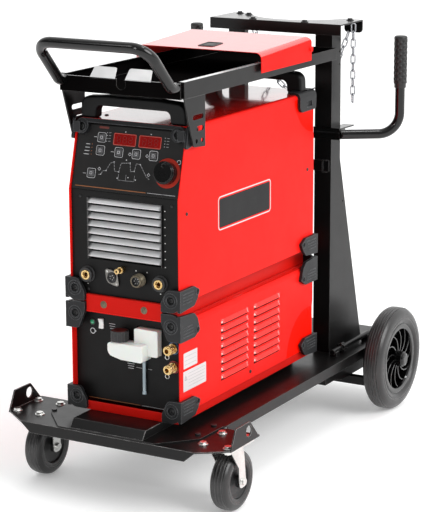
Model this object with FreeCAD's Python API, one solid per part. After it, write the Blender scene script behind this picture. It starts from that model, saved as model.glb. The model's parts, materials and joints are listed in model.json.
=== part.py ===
"""TIG welding power source on a water cooler, carried by a four-wheeled gas-bottle cart.

Millimetres. +X is to the right of someone facing the control panel, +Y runs from the panel to the bottle
at the back, +Z is up and the floor is z = 0. The model is drawn with y = 0 on the front edge of the two
cases; save() then slides it so that the origin is the middle of the machine's footprint on the floor.
"""
import FreeCAD, Part
import math
import os

os.makedirs("parts", exist_ok=True)
Vector = FreeCAD.Vector

# ---------------------------------------------------------------- driving dimensions
CASE_HALF = 123.5            # half width of the power source and of the cooler
CASE_DEPTH = 558.0
CASE_SHEET = 2.0
CART_SHEET = 3.0

FRONT_PLATE_TOP = 145.8      # sheet that carries the two casters
DECK_TOP = 148.8             # sheet that carries the machine and the bottle
DECK_HALF = 178.4
DECK_END = 880.0
PLINTH_TOP = 166.0
PLINTH_HALF = 83.0

COOLER_BASE = 166.0
COOLER_WALL = 184.3          # lower edge of the cooler's side wall
COOLER_TOP = 368.0
SOURCE_BASE = 368.4
SOURCE_WALL = 404.5          # lower edge of the power source's side wall
SOURCE_TOP = 741.0
SOURCE_FOLD_R = 9.0            # fold along the roof's two long edges
MOULDING_TOP = 139.0           # top of the front moulding, measured up the leaning panel
MOULDING_FOOT = 118.0          # the case's front lip stops here and the moulding takes over
MOULDING_CORNER_R = 20.0
TILT_START = 606.0           # above this height the front of the power source leans back
TILT = math.radians(14.4)

COLUMN_INNER = 86.0
COLUMN_OUTER = 126.0
COLUMN_FRONT = 636.0
COLUMN_TOP = 873.0
YOKE_HALF = 158.0
YOKE_FRONT = 610.0
YOKE_BACK = 719.0
BOTTLE_R = 123.3             # hollow in the yoke for the gas bottle
BOTTLE_Y = 754.0

TRAY_HALF = 137.0
TRAY_OFFSET = 3.0            # the notch and tongues of the front lip sit this far right of centre
TRAY_BASE = 799.0
TRAY_RIM = 831.0
LID_HALF = 145.0
LID_PIVOT = (499.0, 837.0)   # y, z of the lid's hinge pins

CASTER_X = 215.3
CASTER_Y = 12.6
CASTER_TRAIL = 25.4
CASTER_R = 60.0
REAR_WHEEL_R = 115.0
REAR_WHEEL_Y = 775.0
TYRE_INNER = 191.5           # x of the rear tyre's inner side
TYRE_OUTER = 237.5
AXLE_R = 10.0

TUBE_R = 10.5                # handle tube
HANDLE_BAR_Y = -101.0
SIDE_HANDLE_X = 251.0
SIDE_HANDLE_Y = 712.0

FIT = 0.06                   # radial clearance of a running fit
GAP = 0.3                    # clearance between bodies that pass each other

FOOTPRINT_MIDDLE = ((HANDLE_BAR_Y - TUBE_R) + (REAR_WHEEL_Y + REAR_WHEEL_R)) / 2

NORMAL = {"xy": Vector(0, 0, 1), "xz": Vector(0, 1, 0), "yz": Vector(1, 0, 0)}


# ---------------------------------------------------------------- helpers
def save(name, *solids):
    """Write the solids of one node, in the machine's own frame."""
    shape = solids[0] if len(solids) == 1 else Part.makeCompound(list(solids))
    shape = shape.copy()
    shape.translate(Vector(0, -FOOTPRINT_MIDDLE, 0))
    if not shape.isValid():
        print("INVALID", name)
    shape.exportStep("parts/" + name + ".step")
    print(f"{name}: {len(shape.Solids)} solid(s), {shape.Volume / 1000:.1f} cm3")


def box(x, y, z):
    """Block between the low and high limits given for each axis."""
    return Part.makeBox(x[1] - x[0], y[1] - y[0], z[1] - z[0], Vector(x[0], y[0], z[0]))


def rod(radius, start, end):
    """Round bar from one centre to the other."""
    start = Vector(*start)
    along = Vector(*end) - start
    return Part.makeCylinder(radius, along.Length, start, along)


def ring(outer, inner, start, end):
    """Tube from one centre to the other."""
    return rod(outer, start, end).cut(rod(inner, start, end))


def mirrored(shape):
    """The same piece on the other side of the machine."""
    return shape.mirror(Vector(0, 0, 0), Vector(1, 0, 0))


def fuse(first, *others):
    """One solid from pieces that touch or overlap."""
    return first.multiFuse(list(others)).removeSplitter()


def cut(shape, *tools):
    """The shape with the tools taken away."""
    for tool in tools:
        shape = shape.cut(tool)
    return shape


def rounded_path(points, radii, closed):
    """Straight runs through the points, joined by tangent arcs of the given radii."""
    corners = []
    for index, point in enumerate(points):
        radius = radii[index]
        at_end = not closed and index in (0, len(points) - 1)
        if radius == 0 or at_end:
            corners.append((point, None, point))
            continue
        back = (points[index - 1] - point).normalize()
        ahead = (points[(index + 1) % len(points)] - point).normalize()
        half_angle = back.getAngle(ahead) / 2
        reach = radius / math.tan(half_angle)
        inward = (back + ahead).normalize()
        middle = point + inward * (radius / math.sin(half_angle) - radius)
        corners.append((point + back * reach, middle, point + ahead * reach))
    edges = []
    for index, (start, middle, end) in enumerate(corners):
        if middle is not None:
            edges.append(Part.Arc(start, middle, end).toShape())
        if closed or index < len(corners) - 1:
            following = corners[(index + 1) % len(corners)][0]
            if (following - end).Length > 1e-6:
                edges.append(Part.LineSegment(end, following).toShape())
    return Part.Wire(edges)


def slab(plane, level, thickness, corners):
    """Plate cut to an outline. A corner is (a, b) or (a, b, corner radius) in the named plane."""
    place = {
        "xy": lambda a, b: Vector(a, b, level),
        "xz": lambda a, b: Vector(a, level, b),
        "yz": lambda a, b: Vector(level, a, b),
    }[plane]
    points = [place(corner[0], corner[1]) for corner in corners]
    radii = [corner[2] if len(corner) > 2 else 0 for corner in corners]
    face = Part.Face(rounded_path(points, radii, True))
    return face.extrude(NORMAL[plane] * thickness)


def revolved_x(profile):
    """Solid of revolution about the X axis; the profile is a list of (x, radius)."""
    points = [Vector(x, 0, r) for x, r in profile]
    face = Part.Face(Part.makePolygon(points + points[:1]))
    return face.revolve(Vector(0, 0, 0), Vector(1, 0, 0), 360)


def bent_bar(points, bend_radius, radius):
    """Round bar that follows straight runs and bends; bend_radius is one radius or one per point."""
    path = [Vector(*point) for point in points]
    radii = bend_radius if isinstance(bend_radius, list) else [bend_radius] * len(path)
    wire = rounded_path(path, radii, False)
    circle = Part.makeCircle(radius, path[0], path[1] - path[0])
    return wire.makePipeShell([Part.Wire(circle)], True, False)


def bent_tube(points, bend_radius, radius, wall):
    """Round tube, open at both ends."""
    return bent_bar(points, bend_radius, radius).cut(bent_bar(points, bend_radius, radius - wall))


def hexagon(across_flats, start, height):
    """Hexagonal prism standing on a point."""
    corner = across_flats / math.sqrt(3)
    base = Vector(*start)
    points = [base + Vector(corner * math.cos(a), corner * math.sin(a), 0)
              for a in [math.radians(60 * k) for k in range(6)]]
    return Part.Face(Part.makePolygon(points + points[:1])).extrude(Vector(0, 0, height))


def panel_point(x, up, out):
    """A point on the leaning control panel: across, up the slope, and out of the face."""
    return Vector(x,
                  4.0 + up * math.sin(TILT) - out * math.cos(TILT),
                  TILT_START + up * math.cos(TILT) + out * math.sin(TILT))


def panel_rod(radius, x, up, out_low, out_high):
    """Round bar square to the control panel."""
    start = panel_point(x, up, out_low)
    return Part.makeCylinder(radius, out_high - out_low, start, panel_point(x, up, out_high) - start)


def panel_slab(x, up, out):
    """Block lined up with the control panel, between limits across, up and out."""
    corners = [panel_point(x[0], up[0], out[0]), panel_point(x[1], up[0], out[0]),
               panel_point(x[1], up[1], out[0]), panel_point(x[0], up[1], out[0])]
    outward = panel_point(0, 0, out[1]) - panel_point(0, 0, out[0])
    return Part.Face(Part.makePolygon(corners + corners[:1])).extrude(outward)


# ---------------------------------------------------------------- cart: sheet-metal chassis
CASTER_BOLTS = [(side * (CASTER_X + dx), CASTER_Y + dy)
                for side in (-1, 1) for dx in (-27.2, 27.2) for dy in (-36.6, 36.6)]
FRONT_SCREWS = [(-172.0, 4.0), (156.0, 11.0), (156.0, 73.0)]
YOKE_BOLTS = [(-136.0, 705.0), (-104.0, 687.0), (-57.0, 620.0), (68.0, 620.0), (139.0, 695.0)]


def drilled(shape, places, radius, low, high):
    """Vertical holes through a horizontal sheet."""
    return cut(shape, *[rod(radius, (x, y, low), (x, y, high)) for x, y in places])


def front_plate():
    """Caster plate of the cart, with a folded front lip and a lashing ear at each side."""
    low = FRONT_PLATE_TOP - CART_SHEET
    sheet = slab("xy", low, CART_SHEET, [
        (-199, -75.4), (199, -75.4), (256, -33), (256, 79, 3), (-256, 79, 3), (-256, -33)])
    lip = slab("xz", -75.4, CART_SHEET, [(-199, low + 1), (-176, 124), (176, 124), (199, low + 1)])
    ear = slab("yz", 253, CART_SHEET, [(-36, low), (-16, 184, 3), (39, 184, 3), (76, low)])
    ear = cut(ear, rod(11, (252, 34, 166), (257, 34, 166)))
    plate = fuse(sheet, lip, ear, mirrored(ear))
    plate = drilled(plate, CASTER_BOLTS, 4.2, low - 1, FRONT_PLATE_TOP + 1)
    return drilled(plate, FRONT_SCREWS, 3.2, low - 1, FRONT_PLATE_TOP + 1)


def platform():
    """Long deck with folded-down edges; it lies on the front plate and carries the bottle behind."""
    low = DECK_TOP - CART_SHEET
    half = [(110, -74.4, 3), (172, -8, 6), (174, 78, 2), (DECK_HALF, 83), (DECK_HALF, DECK_END)]
    outline = half + [(-corner[0],) + corner[1:] for corner in reversed(half)]
    deck = slab("xy", low, CART_SHEET, outline)
    edge = box((DECK_HALF - CART_SHEET, DECK_HALF), (90, DECK_END), (126.8, DECK_TOP))
    tail = box((-DECK_HALF, DECK_HALF), (DECK_END - CART_SHEET, DECK_END), (126.8, DECK_TOP))
    deck = fuse(deck, edge, mirrored(edge), tail)
    return drilled(deck, FRONT_SCREWS, 3.2, low - 1, DECK_TOP + 1)


def plinth():
    """Low folded step that the cooler stands on, between its corner bumpers."""
    outer = slab("yz", -PLINTH_HALF, 2 * PLINTH_HALF, [
        (-73, DECK_TOP), (-60, PLINTH_TOP, 1.5), (545, PLINTH_TOP), (545, DECK_TOP)])
    inner = slab("yz", -PLINTH_HALF + 2, 2 * PLINTH_HALF - 4, [
        (-70, DECK_TOP - 1), (-58.5, PLINTH_TOP - 2), (546, PLINTH_TOP - 2), (546, DECK_TOP - 1)])
    return cut(outer, inner)


def rear_column():
    """Right-hand folded column: front face, flared side wall, inner return and foot."""
    foot = DECK_TOP
    face = box((COLUMN_INNER, COLUMN_OUTER), (COLUMN_FRONT, COLUMN_FRONT + CART_SHEET), (foot, COLUMN_TOP))
    side = slab("yz", COLUMN_OUTER - CART_SHEET, CART_SHEET, [
        (COLUMN_FRONT, foot), (COLUMN_FRONT, COLUMN_TOP), (678, COLUMN_TOP), (680, 577, 30), (796, foot)])
    inner_return = box((COLUMN_INNER, COLUMN_INNER + CART_SHEET), (COLUMN_FRONT, 652), (foot, COLUMN_TOP))
    flange = box((98, COLUMN_OUTER), (COLUMN_FRONT, 790), (foot, foot + CART_SHEET))
    strap = box((83.5, 122), (COLUMN_FRONT - CART_SHEET, COLUMN_FRONT), (555.5, 579))
    hook = [box((107, 109), (COLUMN_FRONT - 8, COLUMN_FRONT), (553, 581)),
            box((107, 118), (COLUMN_FRONT - 8, COLUMN_FRONT), (579, 581)),
            box((107, 118), (COLUMN_FRONT - 8, COLUMN_FRONT), (553, 555))]
    column = fuse(face, side, inner_return, flange, strap, *hook)
    holes = [rod(2.6, (COLUMN_OUTER - 5, y, z), (COLUMN_OUTER + 1, y, z))
             for y, z in ((672, 784), (672, 811), (696, 480))]
    return cut(column, *holes)


def top_plate():
    """Bottle yoke on top of the columns: a shelf with a hollow back edge and folded lips."""
    low = COLUMN_TOP
    half_mouth = 113.0
    centre_y = YOKE_BACK + math.sqrt(BOTTLE_R ** 2 - half_mouth ** 2)
    sheet = slab("xy", low, CART_SHEET, [
        (-YOKE_HALF, YOKE_FRONT), (YOKE_HALF, YOKE_FRONT), (YOKE_HALF, YOKE_BACK), (-YOKE_HALF, YOKE_BACK)])
    sheet = cut(sheet, rod(BOTTLE_R, (0, centre_y, low - 1), (0, centre_y, low + 5)))
    lip = box((-YOKE_HALF, YOKE_HALF), (YOKE_FRONT, YOKE_FRONT + CART_SHEET), (low - 20.4, low + 1))
    tab = slab("xz", YOKE_BACK - CART_SHEET, CART_SHEET, [
        (half_mouth + 2, low + 1), (half_mouth + 2, 848, 8), (YOKE_HALF, 848, 8), (YOKE_HALF, low + 1)])
    plate = fuse(sheet, lip, tab, mirrored(tab))
    return drilled(plate, YOKE_BOLTS, 4.2, low - 1, low + 5)


def axle_carrier():
    """Inverted tray under the deck that holds the rear axle; its front part reaches lower than its back."""
    top = DECK_TOP - CART_SHEET
    outline = [(572, top), (572, 94), (622, 94), (650, 86), (830, 86), (830, top)]
    outer = slab("yz", -150, 300, outline)
    inner = box((-147, 147), (575, 831), (80, top - CART_SHEET))
    bore = rod(AXLE_R + 0.1, (-151, REAR_WHEEL_Y, REAR_WHEEL_R), (151, REAR_WHEEL_Y, REAR_WHEEL_R))
    return cut(outer, inner, bore)


def cross_bar():
    """Square tube across the carrier, bolted up under its side walls."""
    outer = box((-188, 188), (688, 706), (68, 86))
    return cut(outer, box((-189, 189), (690.5, 703.5), (70.5, 83.5)))


def deck_clamp():
    """Tie rod with a star knob, kept in two saddles on the deck."""
    x = 148.0
    z = DECK_TOP + 11
    bar = rod(6, (x, 608, z), (x, 790, z))
    saddles = [box((x - 8, x + 8), (y, y + 14), (DECK_TOP, z)) for y in (612, 770)]
    hub = rod(9, (x, 648, z), (x, 662, z))
    lobes = []
    for k in range(6):
        angle = math.radians(60 * k + 30)
        lobe_x = x + 7 * math.cos(angle)
        lobe_z = z + 7 * math.sin(angle)
        lobes.append(rod(4, (lobe_x, 648, lobe_z), (lobe_x, 662, lobe_z)))
    return fuse(bar, *saddles, hub, *lobes)


def caster_stack_bolt(x, y):
    """Zinc hexagon bolt through the front plate and a caster plate, with its nut."""
    head_z = FRONT_PLATE_TOP
    nut_top = head_z - 2 * CART_SHEET
    parts = [hexagon(13, (x, y, head_z), 5.2), rod(4, (x, y, nut_top - 6), (x, y, head_z + 1)),
             hexagon(13, (x, y, nut_top - 5.2), 5.2)]
    return fuse(*parts)


def cart_bolts():
    """Every visible bolt of the cart: caster bolts, yoke bolts and deck screws."""
    bolts = [caster_stack_bolt(x, y) for x, y in CASTER_BOLTS]
    for x, y in YOKE_BOLTS:
        top = COLUMN_TOP + CART_SHEET
        bolts.append(fuse(hexagon(10, (x, y, top), 4.5), rod(4, (x, y, COLUMN_TOP - 6), (x, y, top + 1)),
                          hexagon(10, (x, y, COLUMN_TOP - 4.5), 4.5)))
    for x, y in FRONT_SCREWS:
        bolts.append(fuse(rod(5.5, (x, y, DECK_TOP), (x, y, DECK_TOP + 3)),
                          rod(3, (x, y, 138), (x, y, DECK_TOP + 1))))
    return bolts


# ---------------------------------------------------------------- cart: handles, tray, lid
def side_handle():
    """Right-hand push handle: strap round the column, gusset and bent tube, welded together."""
    low, high = 626.0, 651.0
    face = COLUMN_FRONT - CART_SHEET
    strap = box((84.5, 147), (face, COLUMN_FRONT), (low, high))
    side = box((COLUMN_OUTER, COLUMN_OUTER + 3), (face, 698), (low, high))
    gusset = slab("xy", high - 3, 3, [(COLUMN_OUTER, face), (147, face), (150, 698), (COLUMN_OUTER, 698)])
    z = high - 3 - TUBE_R
    tube = bent_tube([(136, 632, z), (SIDE_HANDLE_X, SIDE_HANDLE_Y, z), (SIDE_HANDLE_X, SIDE_HANDLE_Y, 845)],
                     45, TUBE_R, 1.5)
    tube = cut(tube, box((100, 200), (600, face), (600, 700)))
    return fuse(strap, side, gusset, tube)


def handle_grip():
    """Right-hand rubber grip over the end of the handle tube."""
    x, y = SIDE_HANDLE_X, SIDE_HANDLE_Y
    sleeve = ring(14.5, TUBE_R, (x, y, 746), (x, y, 845))
    collar = ring(12.6, TUBE_R, (x, y, 737), (x, y, 746))
    cap = rod(14.5, (x, y, 845), (x, y, 848))
    return fuse(sleeve, collar, cap)


def tray_tongue():
    """Tab that rises from the front lip and leans back over the tray."""
    tab = slab("xz", 0, CASE_SHEET, [(11, -1), (68, -1), (64, 24, 5), (14, 24, 5)])
    tab.rotate(Vector(0, 0, 0), Vector(1, 0, 0), -34)
    tab.translate(Vector(0, -8, 828.5))
    return tab


def tool_tray():
    """Open tray over the power source: floor, rails with turned-in tops, notched lip, two tongues."""
    t = CASE_SHEET
    floor = box((-TRAY_HALF, TRAY_HALF), (3, 634), (TRAY_BASE, TRAY_BASE + t))
    nose = box((-133, 133), (-8, 4), (TRAY_BASE, TRAY_BASE + t))
    back = box((-TRAY_HALF, TRAY_HALF), (634, COLUMN_FRONT), (TRAY_BASE, 823))
    rail = slab("yz", TRAY_HALF - t, t, [(3, TRAY_BASE), (3, TRAY_RIM), (484, TRAY_RIM), (484, 846, 6),
                                         (508, 846, 8.9), (508, 823), (635, 823), (635, TRAY_BASE)])
    turned = box((TRAY_HALF - 12, TRAY_HALF), (3, 484), (TRAY_RIM - t, TRAY_RIM))
    notch = TRAY_OFFSET + 2
    lip = slab("xz", -8, t, [(-133, TRAY_BASE), (135, TRAY_BASE), (135, 829), (notch + 10, 829),
                             (notch + 10, 809, 9.9), (notch - 10, 809, 9.9), (notch - 10, 829), (-133, 829)])
    tongue = tray_tongue()
    tongues = [tongue, mirrored(tongue)]
    for piece in tongues:
        piece.translate(Vector(TRAY_OFFSET, 0, 0))
    tray = fuse(floor, nose, back, rail, mirrored(rail), turned, mirrored(turned), lip, *tongues)
    pin_hole = rod(3 + FIT, (-TRAY_HALF - 1, *LID_PIVOT), (TRAY_HALF + 1, *LID_PIVOT))
    return cut(tray, pin_hole)


def tray_handle():
    """Bent tube across the front of the tray, its ends cut flush with the tray's front lip."""
    lip_front = -8
    right = [(121.5, HANDLE_BAR_Y, 903), (124.0, -22.5, 820.5), (124.5, 8, 820.5)]
    left = [(-x, y, z) for x, y, z in reversed(right)]
    tube = bent_tube(left + right, [0, 22, 36, 36, 22, 0], TUBE_R, 1.5)
    return cut(tube, box((-160, 160), (lip_front, 40), (760, 860)))


def tray_bracket():
    """Slotted plate hanging from the tray's right-hand rail."""
    plate = slab("yz", TRAY_HALF - CART_SHEET, CART_SHEET, [
        (3, TRAY_BASE), (79, TRAY_BASE), (79, 700, 3), (36, 704, 6)])
    slots = []
    for y_low, z in ((33, 759.5), (46, 737)):
        slots.append(slab("yz", TRAY_HALF - 5, 8, [(y_low, z - 5, 4.9), (73, z - 5, 4.9), (73, z + 5, 4.9),
                                                   (y_low, z + 5, 4.9)]))
    holes = [rod(4.5, (TRAY_HALF - 5, y, 714), (TRAY_HALF + 2, y, 714)) for y in (46, 68)]
    return cut(plate, *slots, *holes)


def lid_block(half, front, back, low, front_top, back_top, radius):
    """Wedge-topped block with rounded long edges and a rounded back edge."""
    block = slab("yz", -half, 2 * half, [(front, low), (front, front_top), (back, back_top), (back, low)])
    edges = [e for e in block.Edges
             if e.BoundBox.ZMax > low + 20 and e.BoundBox.ZMin > low + 20
             and (e.BoundBox.YLength > 50 or (e.BoundBox.XLength > 50 and e.BoundBox.YMin > back - 1))]
    return block.makeFillet(radius, edges)


def tray_lid():
    """Hinged cover over the back of the tray, with its two pivot pins."""
    t = 1.5
    outer = lid_block(LID_HALF, 287, 503, 813, 853, 864, 14)
    inner = lid_block(LID_HALF - t, 280, 503 - t, 800, 853 - t, 864 - t, 14 - t)
    back_opening = box((-LID_HALF + t, LID_HALF - t), (480, 510), (800, 849))
    lid = cut(outer, inner, back_opening)
    pin = rod(3, (TRAY_HALF - 4, *LID_PIVOT), (LID_HALF + 2, *LID_PIVOT))
    head = rod(5.5, (LID_HALF - 0.5, *LID_PIVOT), (LID_HALF + 3, *LID_PIVOT))
    return fuse(lid, pin, head, mirrored(pin), mirrored(head))


def chain_link():
    """One oval link lying along X in the XY plane, centred on the origin."""
    wire_r = 1.5
    bend = 4.6
    straight = 11.0
    right = Part.makeTorus(bend, wire_r, Vector(0, 0, 0), Vector(0, 0, 1), 0, 360, 180)
    right.rotate(Vector(0, 0, 0), Vector(0, 0, 1), -90)
    right.translate(Vector(straight / 2, 0, 0))
    left = right.mirror(Vector(0, 0, 0), Vector(1, 0, 0))
    bars = [rod(wire_r, (-straight / 2, y, 0), (straight / 2, y, 0)) for y in (-bend, bend)]
    return right.multiFuse([left] + bars)


def bottle_chain():
    """Safety chain: a sagging length between the yoke's back corners and a free end hanging down."""
    pitch = 16.8
    y = 690.0
    low_x, low_z, sag = 22.0, 711.0, 63.0
    spots = []
    half_length = sag * math.sinh(117.0 / sag)
    count = int(2 * half_length / pitch)
    for k in range(count):
        length = (k - (count - 1) / 2) * pitch
        x = sag * math.asinh(length / sag)
        z = low_z + sag * (math.cosh(x / sag) - 1)
        spots.append((low_x + x, z, math.degrees(math.atan(length / sag))))
    links = []
    link = chain_link()
    for k, (x, z, slope) in enumerate(spots):
        piece = link.copy()
        piece.rotate(Vector(0, 0, 0), Vector(1, 0, 0), 45 + 90 * (k % 2))
        piece.rotate(Vector(0, 0, 0), Vector(0, 1, 0), -slope)
        piece.translate(Vector(x, y, z))
        links.append(piece)
    for k in range(10):
        piece = link.copy()
        piece.rotate(Vector(0, 0, 0), Vector(1, 0, 0), 45 + 90 * (k % 2))
        piece.rotate(Vector(0, 0, 0), Vector(0, 1, 0), 90)
        piece.translate(Vector(149.5, y, 861 - k * pitch))
        links.append(piece)
    return links


# ---------------------------------------------------------------- cart: wheels
def caster_plate():
    """Right-hand caster's fixed plate, race and kingpin."""
    top = FRONT_PLATE_TOP - CART_SHEET
    x, y = CASTER_X, CASTER_Y
    plate = slab("xy", top - 3, 3, [(x - 40, y - 48, 6), (x + 40, y - 48, 6),
                                     (x + 40, y + 48, 6), (x - 40, y + 48, 6)])
    places = [place for place in CASTER_BOLTS if place[0] > 0]
    plate = drilled(plate, places, 4.2, top - 5, top + 1)
    race = rod(24, (x, y, 133), (x, y, top - 2))
    kingpin = rod(6, (x, y, 125.8), (x, y, top - 2))
    nut = rod(9, (x, y, 125.8), (x, y, 129.2))
    return fuse(plate, race, kingpin, nut)


def caster_fork():
    """Right-hand caster's swivelling fork and its wheel bolt."""
    x, y = CASTER_X, CASTER_Y
    wheel_y = y + CASTER_TRAIL
    crown = slab("xy", 129.5, 3.2, [(x - 25.5, y - 24, 8), (x + 25.5, y - 24, 8),
                                    (x + 25.5, y + 26, 4), (x - 25.5, y + 26, 4)])
    crown = cut(crown, rod(6 + FIT, (x, y, 128), (x, y, 134)))
    leg = slab("yz", x + 23, 2.5, [
        (y - 20, 131), (y + 26, 131), (y + 30, 118), (wheel_y + 13, CASTER_R - 11, 9),
        (wheel_y - 12, CASTER_R - 12, 9), (wheel_y - 16, 92)])
    hole = rod(4.1, (x - 40, wheel_y, CASTER_R), (x + 40, wheel_y, CASTER_R))
    other = leg.mirror(Vector(x, 0, 0), Vector(1, 0, 0))
    fork = fuse(crown, leg, other)
    return cut(fork, hole)


def caster_axle():
    """Wheel bolt with its head and nut."""
    x, y, z = CASTER_X, CASTER_Y + CASTER_TRAIL, CASTER_R
    return fuse(rod(4, (x - 30, y, z), (x + 30, y, z)), rod(7, (x + 25.5, y, z), (x + 30, y, z)),
                rod(7, (x - 30, y, z), (x - 25.5, y, z)))


def caster_wheel():
    """Right-hand caster's rubber-tyred wheel."""
    half = [(22, 4 + FIT), (22, 12), (15, 13), (12, 33), (18.5, 37), (19, 50), (14, 59), (8, CASTER_R)]
    profile = [(-x, r) for x, r in half] + half[::-1]
    wheel = revolved_x(profile)
    wheel.translate(Vector(CASTER_X, CASTER_Y + CASTER_TRAIL, CASTER_R))
    return wheel


def rear_axle():
    """Round axle through the carrier, with a collar beside the carrier and one inside each wheel."""
    y, z = REAR_WHEEL_Y, REAR_WHEEL_R
    bar = rod(AXLE_R, (-242, y, z), (242, y, z))
    collars = [rod(15, (side * start, y, z), (side * end, y, z))
               for side in (-1, 1) for start, end in ((151, 158), (180, 190.5))]
    return fuse(bar, *collars)


def rear_tyre():
    """Right-hand solid rubber tyre."""
    a, b = TYRE_INNER, TYRE_OUTER
    profile = [(a + 5, 80), (a, 88), (a, 103), (a + 4, 110), (a + 12, REAR_WHEEL_R), (b - 12, REAR_WHEEL_R),
               (b - 4, 110), (b, 103), (b, 88), (b - 5, 80)]
    tyre = revolved_x(profile)
    tyre.translate(Vector(0, REAR_WHEEL_Y, REAR_WHEEL_R))
    return tyre


def curved_vane(inner, outer, sweep, thickness):
    """Swept vane of a wheel centre, from the hub to the barrel; sweep is in degrees."""
    near, far = [], []
    steps = 5
    for k in range(steps + 1):
        part = k / steps
        radius = inner + (outer - inner) * part
        angle = math.radians(sweep * part * part)
        half = math.atan(thickness / 2 / radius)
        near.append((radius * math.cos(angle - half), radius * math.sin(angle - half)))
        far.append((radius * math.cos(angle + half), radius * math.sin(angle + half)))
    return slab("yz", 210, 20, near + far[::-1])


def rear_rim():
    """Right-hand moulded wheel centre: barrel, vanes, web, hub and closed hub cap."""
    a, b = TYRE_INNER, TYRE_OUTER
    barrel = revolved_x([(a + 5, 70), (a + 5, 80), (b - 5, 80), (b - 3, 76), (b - 4, 68), (b - 10, 66)])
    web = revolved_x([(208, 15), (208, 72), (211, 72), (211, 15)])
    hub = revolved_x([(a, AXLE_R + FIT), (a, 17), (243, 17), (243, AXLE_R + FIT)])
    cap = revolved_x([(242.5, 0), (242.5, 16.5), (247, 14), (249, 9), (249, 0)])
    vanes = []
    for k in range(12):
        vane = curved_vane(14, 70, 34, 3.0)
        vane.rotate(Vector(0, 0, 0), Vector(1, 0, 0), 30 * k)
        vanes.append(vane)
    rim = fuse(barrel, web, hub, cap, *vanes)
    rim.translate(Vector(0, REAR_WHEEL_Y, REAR_WHEEL_R))
    return rim


# ---------------------------------------------------------------- both units: bases and bumpers
def base_tray(half, front, back, low, high):
    """Shallow folded tray under a unit."""
    t = CASE_SHEET
    outer = box((-half, half), (front, back), (low, high))
    return cut(outer, box((-half + t, half - t), (front + t, back - t), (low + t, high + 1)))


def unit_bases():
    """Red base trays: the power source's shows as a band between the units, the cooler's below it."""
    source = base_tray(118, 3, 554, SOURCE_BASE, SOURCE_WALL - 3)
    band = slab("xz", -2, 5.5, [(-86, SOURCE_BASE), (86, SOURCE_BASE), (86, 401.4), (-86, 401.4)])
    screws = [rod(4, (x, -3.5, 385), (x, 0, 385)) for x in (-46, 46)]
    cooler = base_tray(119, 0, CASE_DEPTH, COOLER_BASE, COOLER_WALL - 0.3)
    return [fuse(source, band, *screws), cooler]


def front_bumper(outer_z, inner_z):
    """Right-hand front corner bumper; outer_z is the corner's own edge and inner_z the other."""
    up = 1 if outer_z > inner_z else -1
    block = slab("xz", -8, 7.6, [(131, inner_z), (131, outer_z, 22), (87, outer_z, 2),
                                 (87, outer_z - 17 * up, 10), (101, inner_z, 10)])
    arm = slab("yz", CASE_HALF + 0.4, 7, [
        (-8, inner_z), (46, inner_z, 3), (66, inner_z + 11 * up, 3),
        (57, outer_z - 18 * up, 2), (45, outer_z - 6 * up, 3), (-8, outer_z - 2 * up)])
    socket = rod(8, (109, -9, outer_z - 24 * up), (109, -3, outer_z - 24 * up))
    bolt_seat = rod(5, (128, 56, inner_z + 13 * up), (132, 56, inner_z + 13 * up))
    return cut(fuse(block, arm), socket, bolt_seat)


def rear_bumper(outer_z, inner_z):
    """Right-hand rear corner bumper: the front one turned end for end."""
    piece = front_bumper(outer_z, inner_z)
    return piece.mirror(Vector(0, CASE_DEPTH / 2, 0), Vector(0, 1, 0))


def bumper_set(heights):
    """Bumpers at all four corners for each pair of heights."""
    pieces = []
    for outer_z, inner_z in heights:
        for piece in (front_bumper(outer_z, inner_z), rear_bumper(outer_z, inner_z)):
            pieces += [piece, mirrored(piece)]
    return pieces


# ---------------------------------------------------------------- power source
KNOB_AT = (90.5, 49.0)
BUTTONS = [(-64.0, 104.5), (-64.0, 79.5), (-22.0, 79.0), (17.3, 79.0), (55.6, 79.0), (-78.5, 34.5)]
PANEL_HEIGHT = 128.0
SOURCE_PRESSING = (566.0, 750.0, 108.0)    # y, z and radius of the round pressing at the rear top corner
COOLER_PRESSING = (540.0, 176.0, 112.0)   # the same for the cooler's rear bottom corner


def case_shell(half, front_profile, low, top, radius, thickness):
    """Top and two sides folded from one sheet; front_profile lists (y, z) up the front edge."""
    outline = front_profile + [(CASE_DEPTH, top), (CASE_DEPTH, low)]
    block = slab("yz", -half, 2 * half, outline)
    edges = [e for e in block.Edges if e.BoundBox.YLength > 400 and e.BoundBox.ZMin > low + 10]
    block = block.makeFillet(radius, edges)
    inner_outline = [(-20, low - 1), (-20, front_profile[1][1])]
    inner_outline += [(front_profile[-1][0] - 20, top - thickness), (CASE_DEPTH + 5, top - thickness)]
    inner_outline += [(CASE_DEPTH + 5, low - 1)]
    core = slab("yz", -half + thickness, 2 * (half - thickness), inner_outline)
    core_edges = [e for e in core.Edges if e.BoundBox.YLength > 400 and e.BoundBox.ZMin > low + 10]
    core = core.makeFillet(radius - thickness, core_edges)
    return cut(block, core)


def pressed_corner(y, z, radius):
    """Tool for a shallow round pressing in the right-hand side wall, sloping at its rim."""
    depth = 1.2
    floor_x = CASE_HALF - depth
    return Part.makeCone(radius - 12, radius, depth + 0.01, Vector(floor_x, y, z), Vector(1, 0, 0))


def source_shell():
    """Red wrap of the power source, with the front edge leaning back beside the control panel."""
    lean = (SOURCE_TOP - TILT_START) * math.tan(TILT)
    profile = [(0, SOURCE_WALL), (0, TILT_START), (lean, SOURCE_TOP)]
    shell = case_shell(CASE_HALF, profile, SOURCE_WALL, SOURCE_TOP, SOURCE_FOLD_R, CASE_SHEET)
    shell = cut(shell, panel_slab((-130, 130), (MOULDING_FOOT, 150), (-2.6, 12)))
    pressing = pressed_corner(*SOURCE_PRESSING)
    pressing = pressing.common(box((100, 130), (400, 600), (600, SOURCE_TOP - SOURCE_FOLD_R)))
    return cut(shell, pressing, mirrored(pressing))


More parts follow.
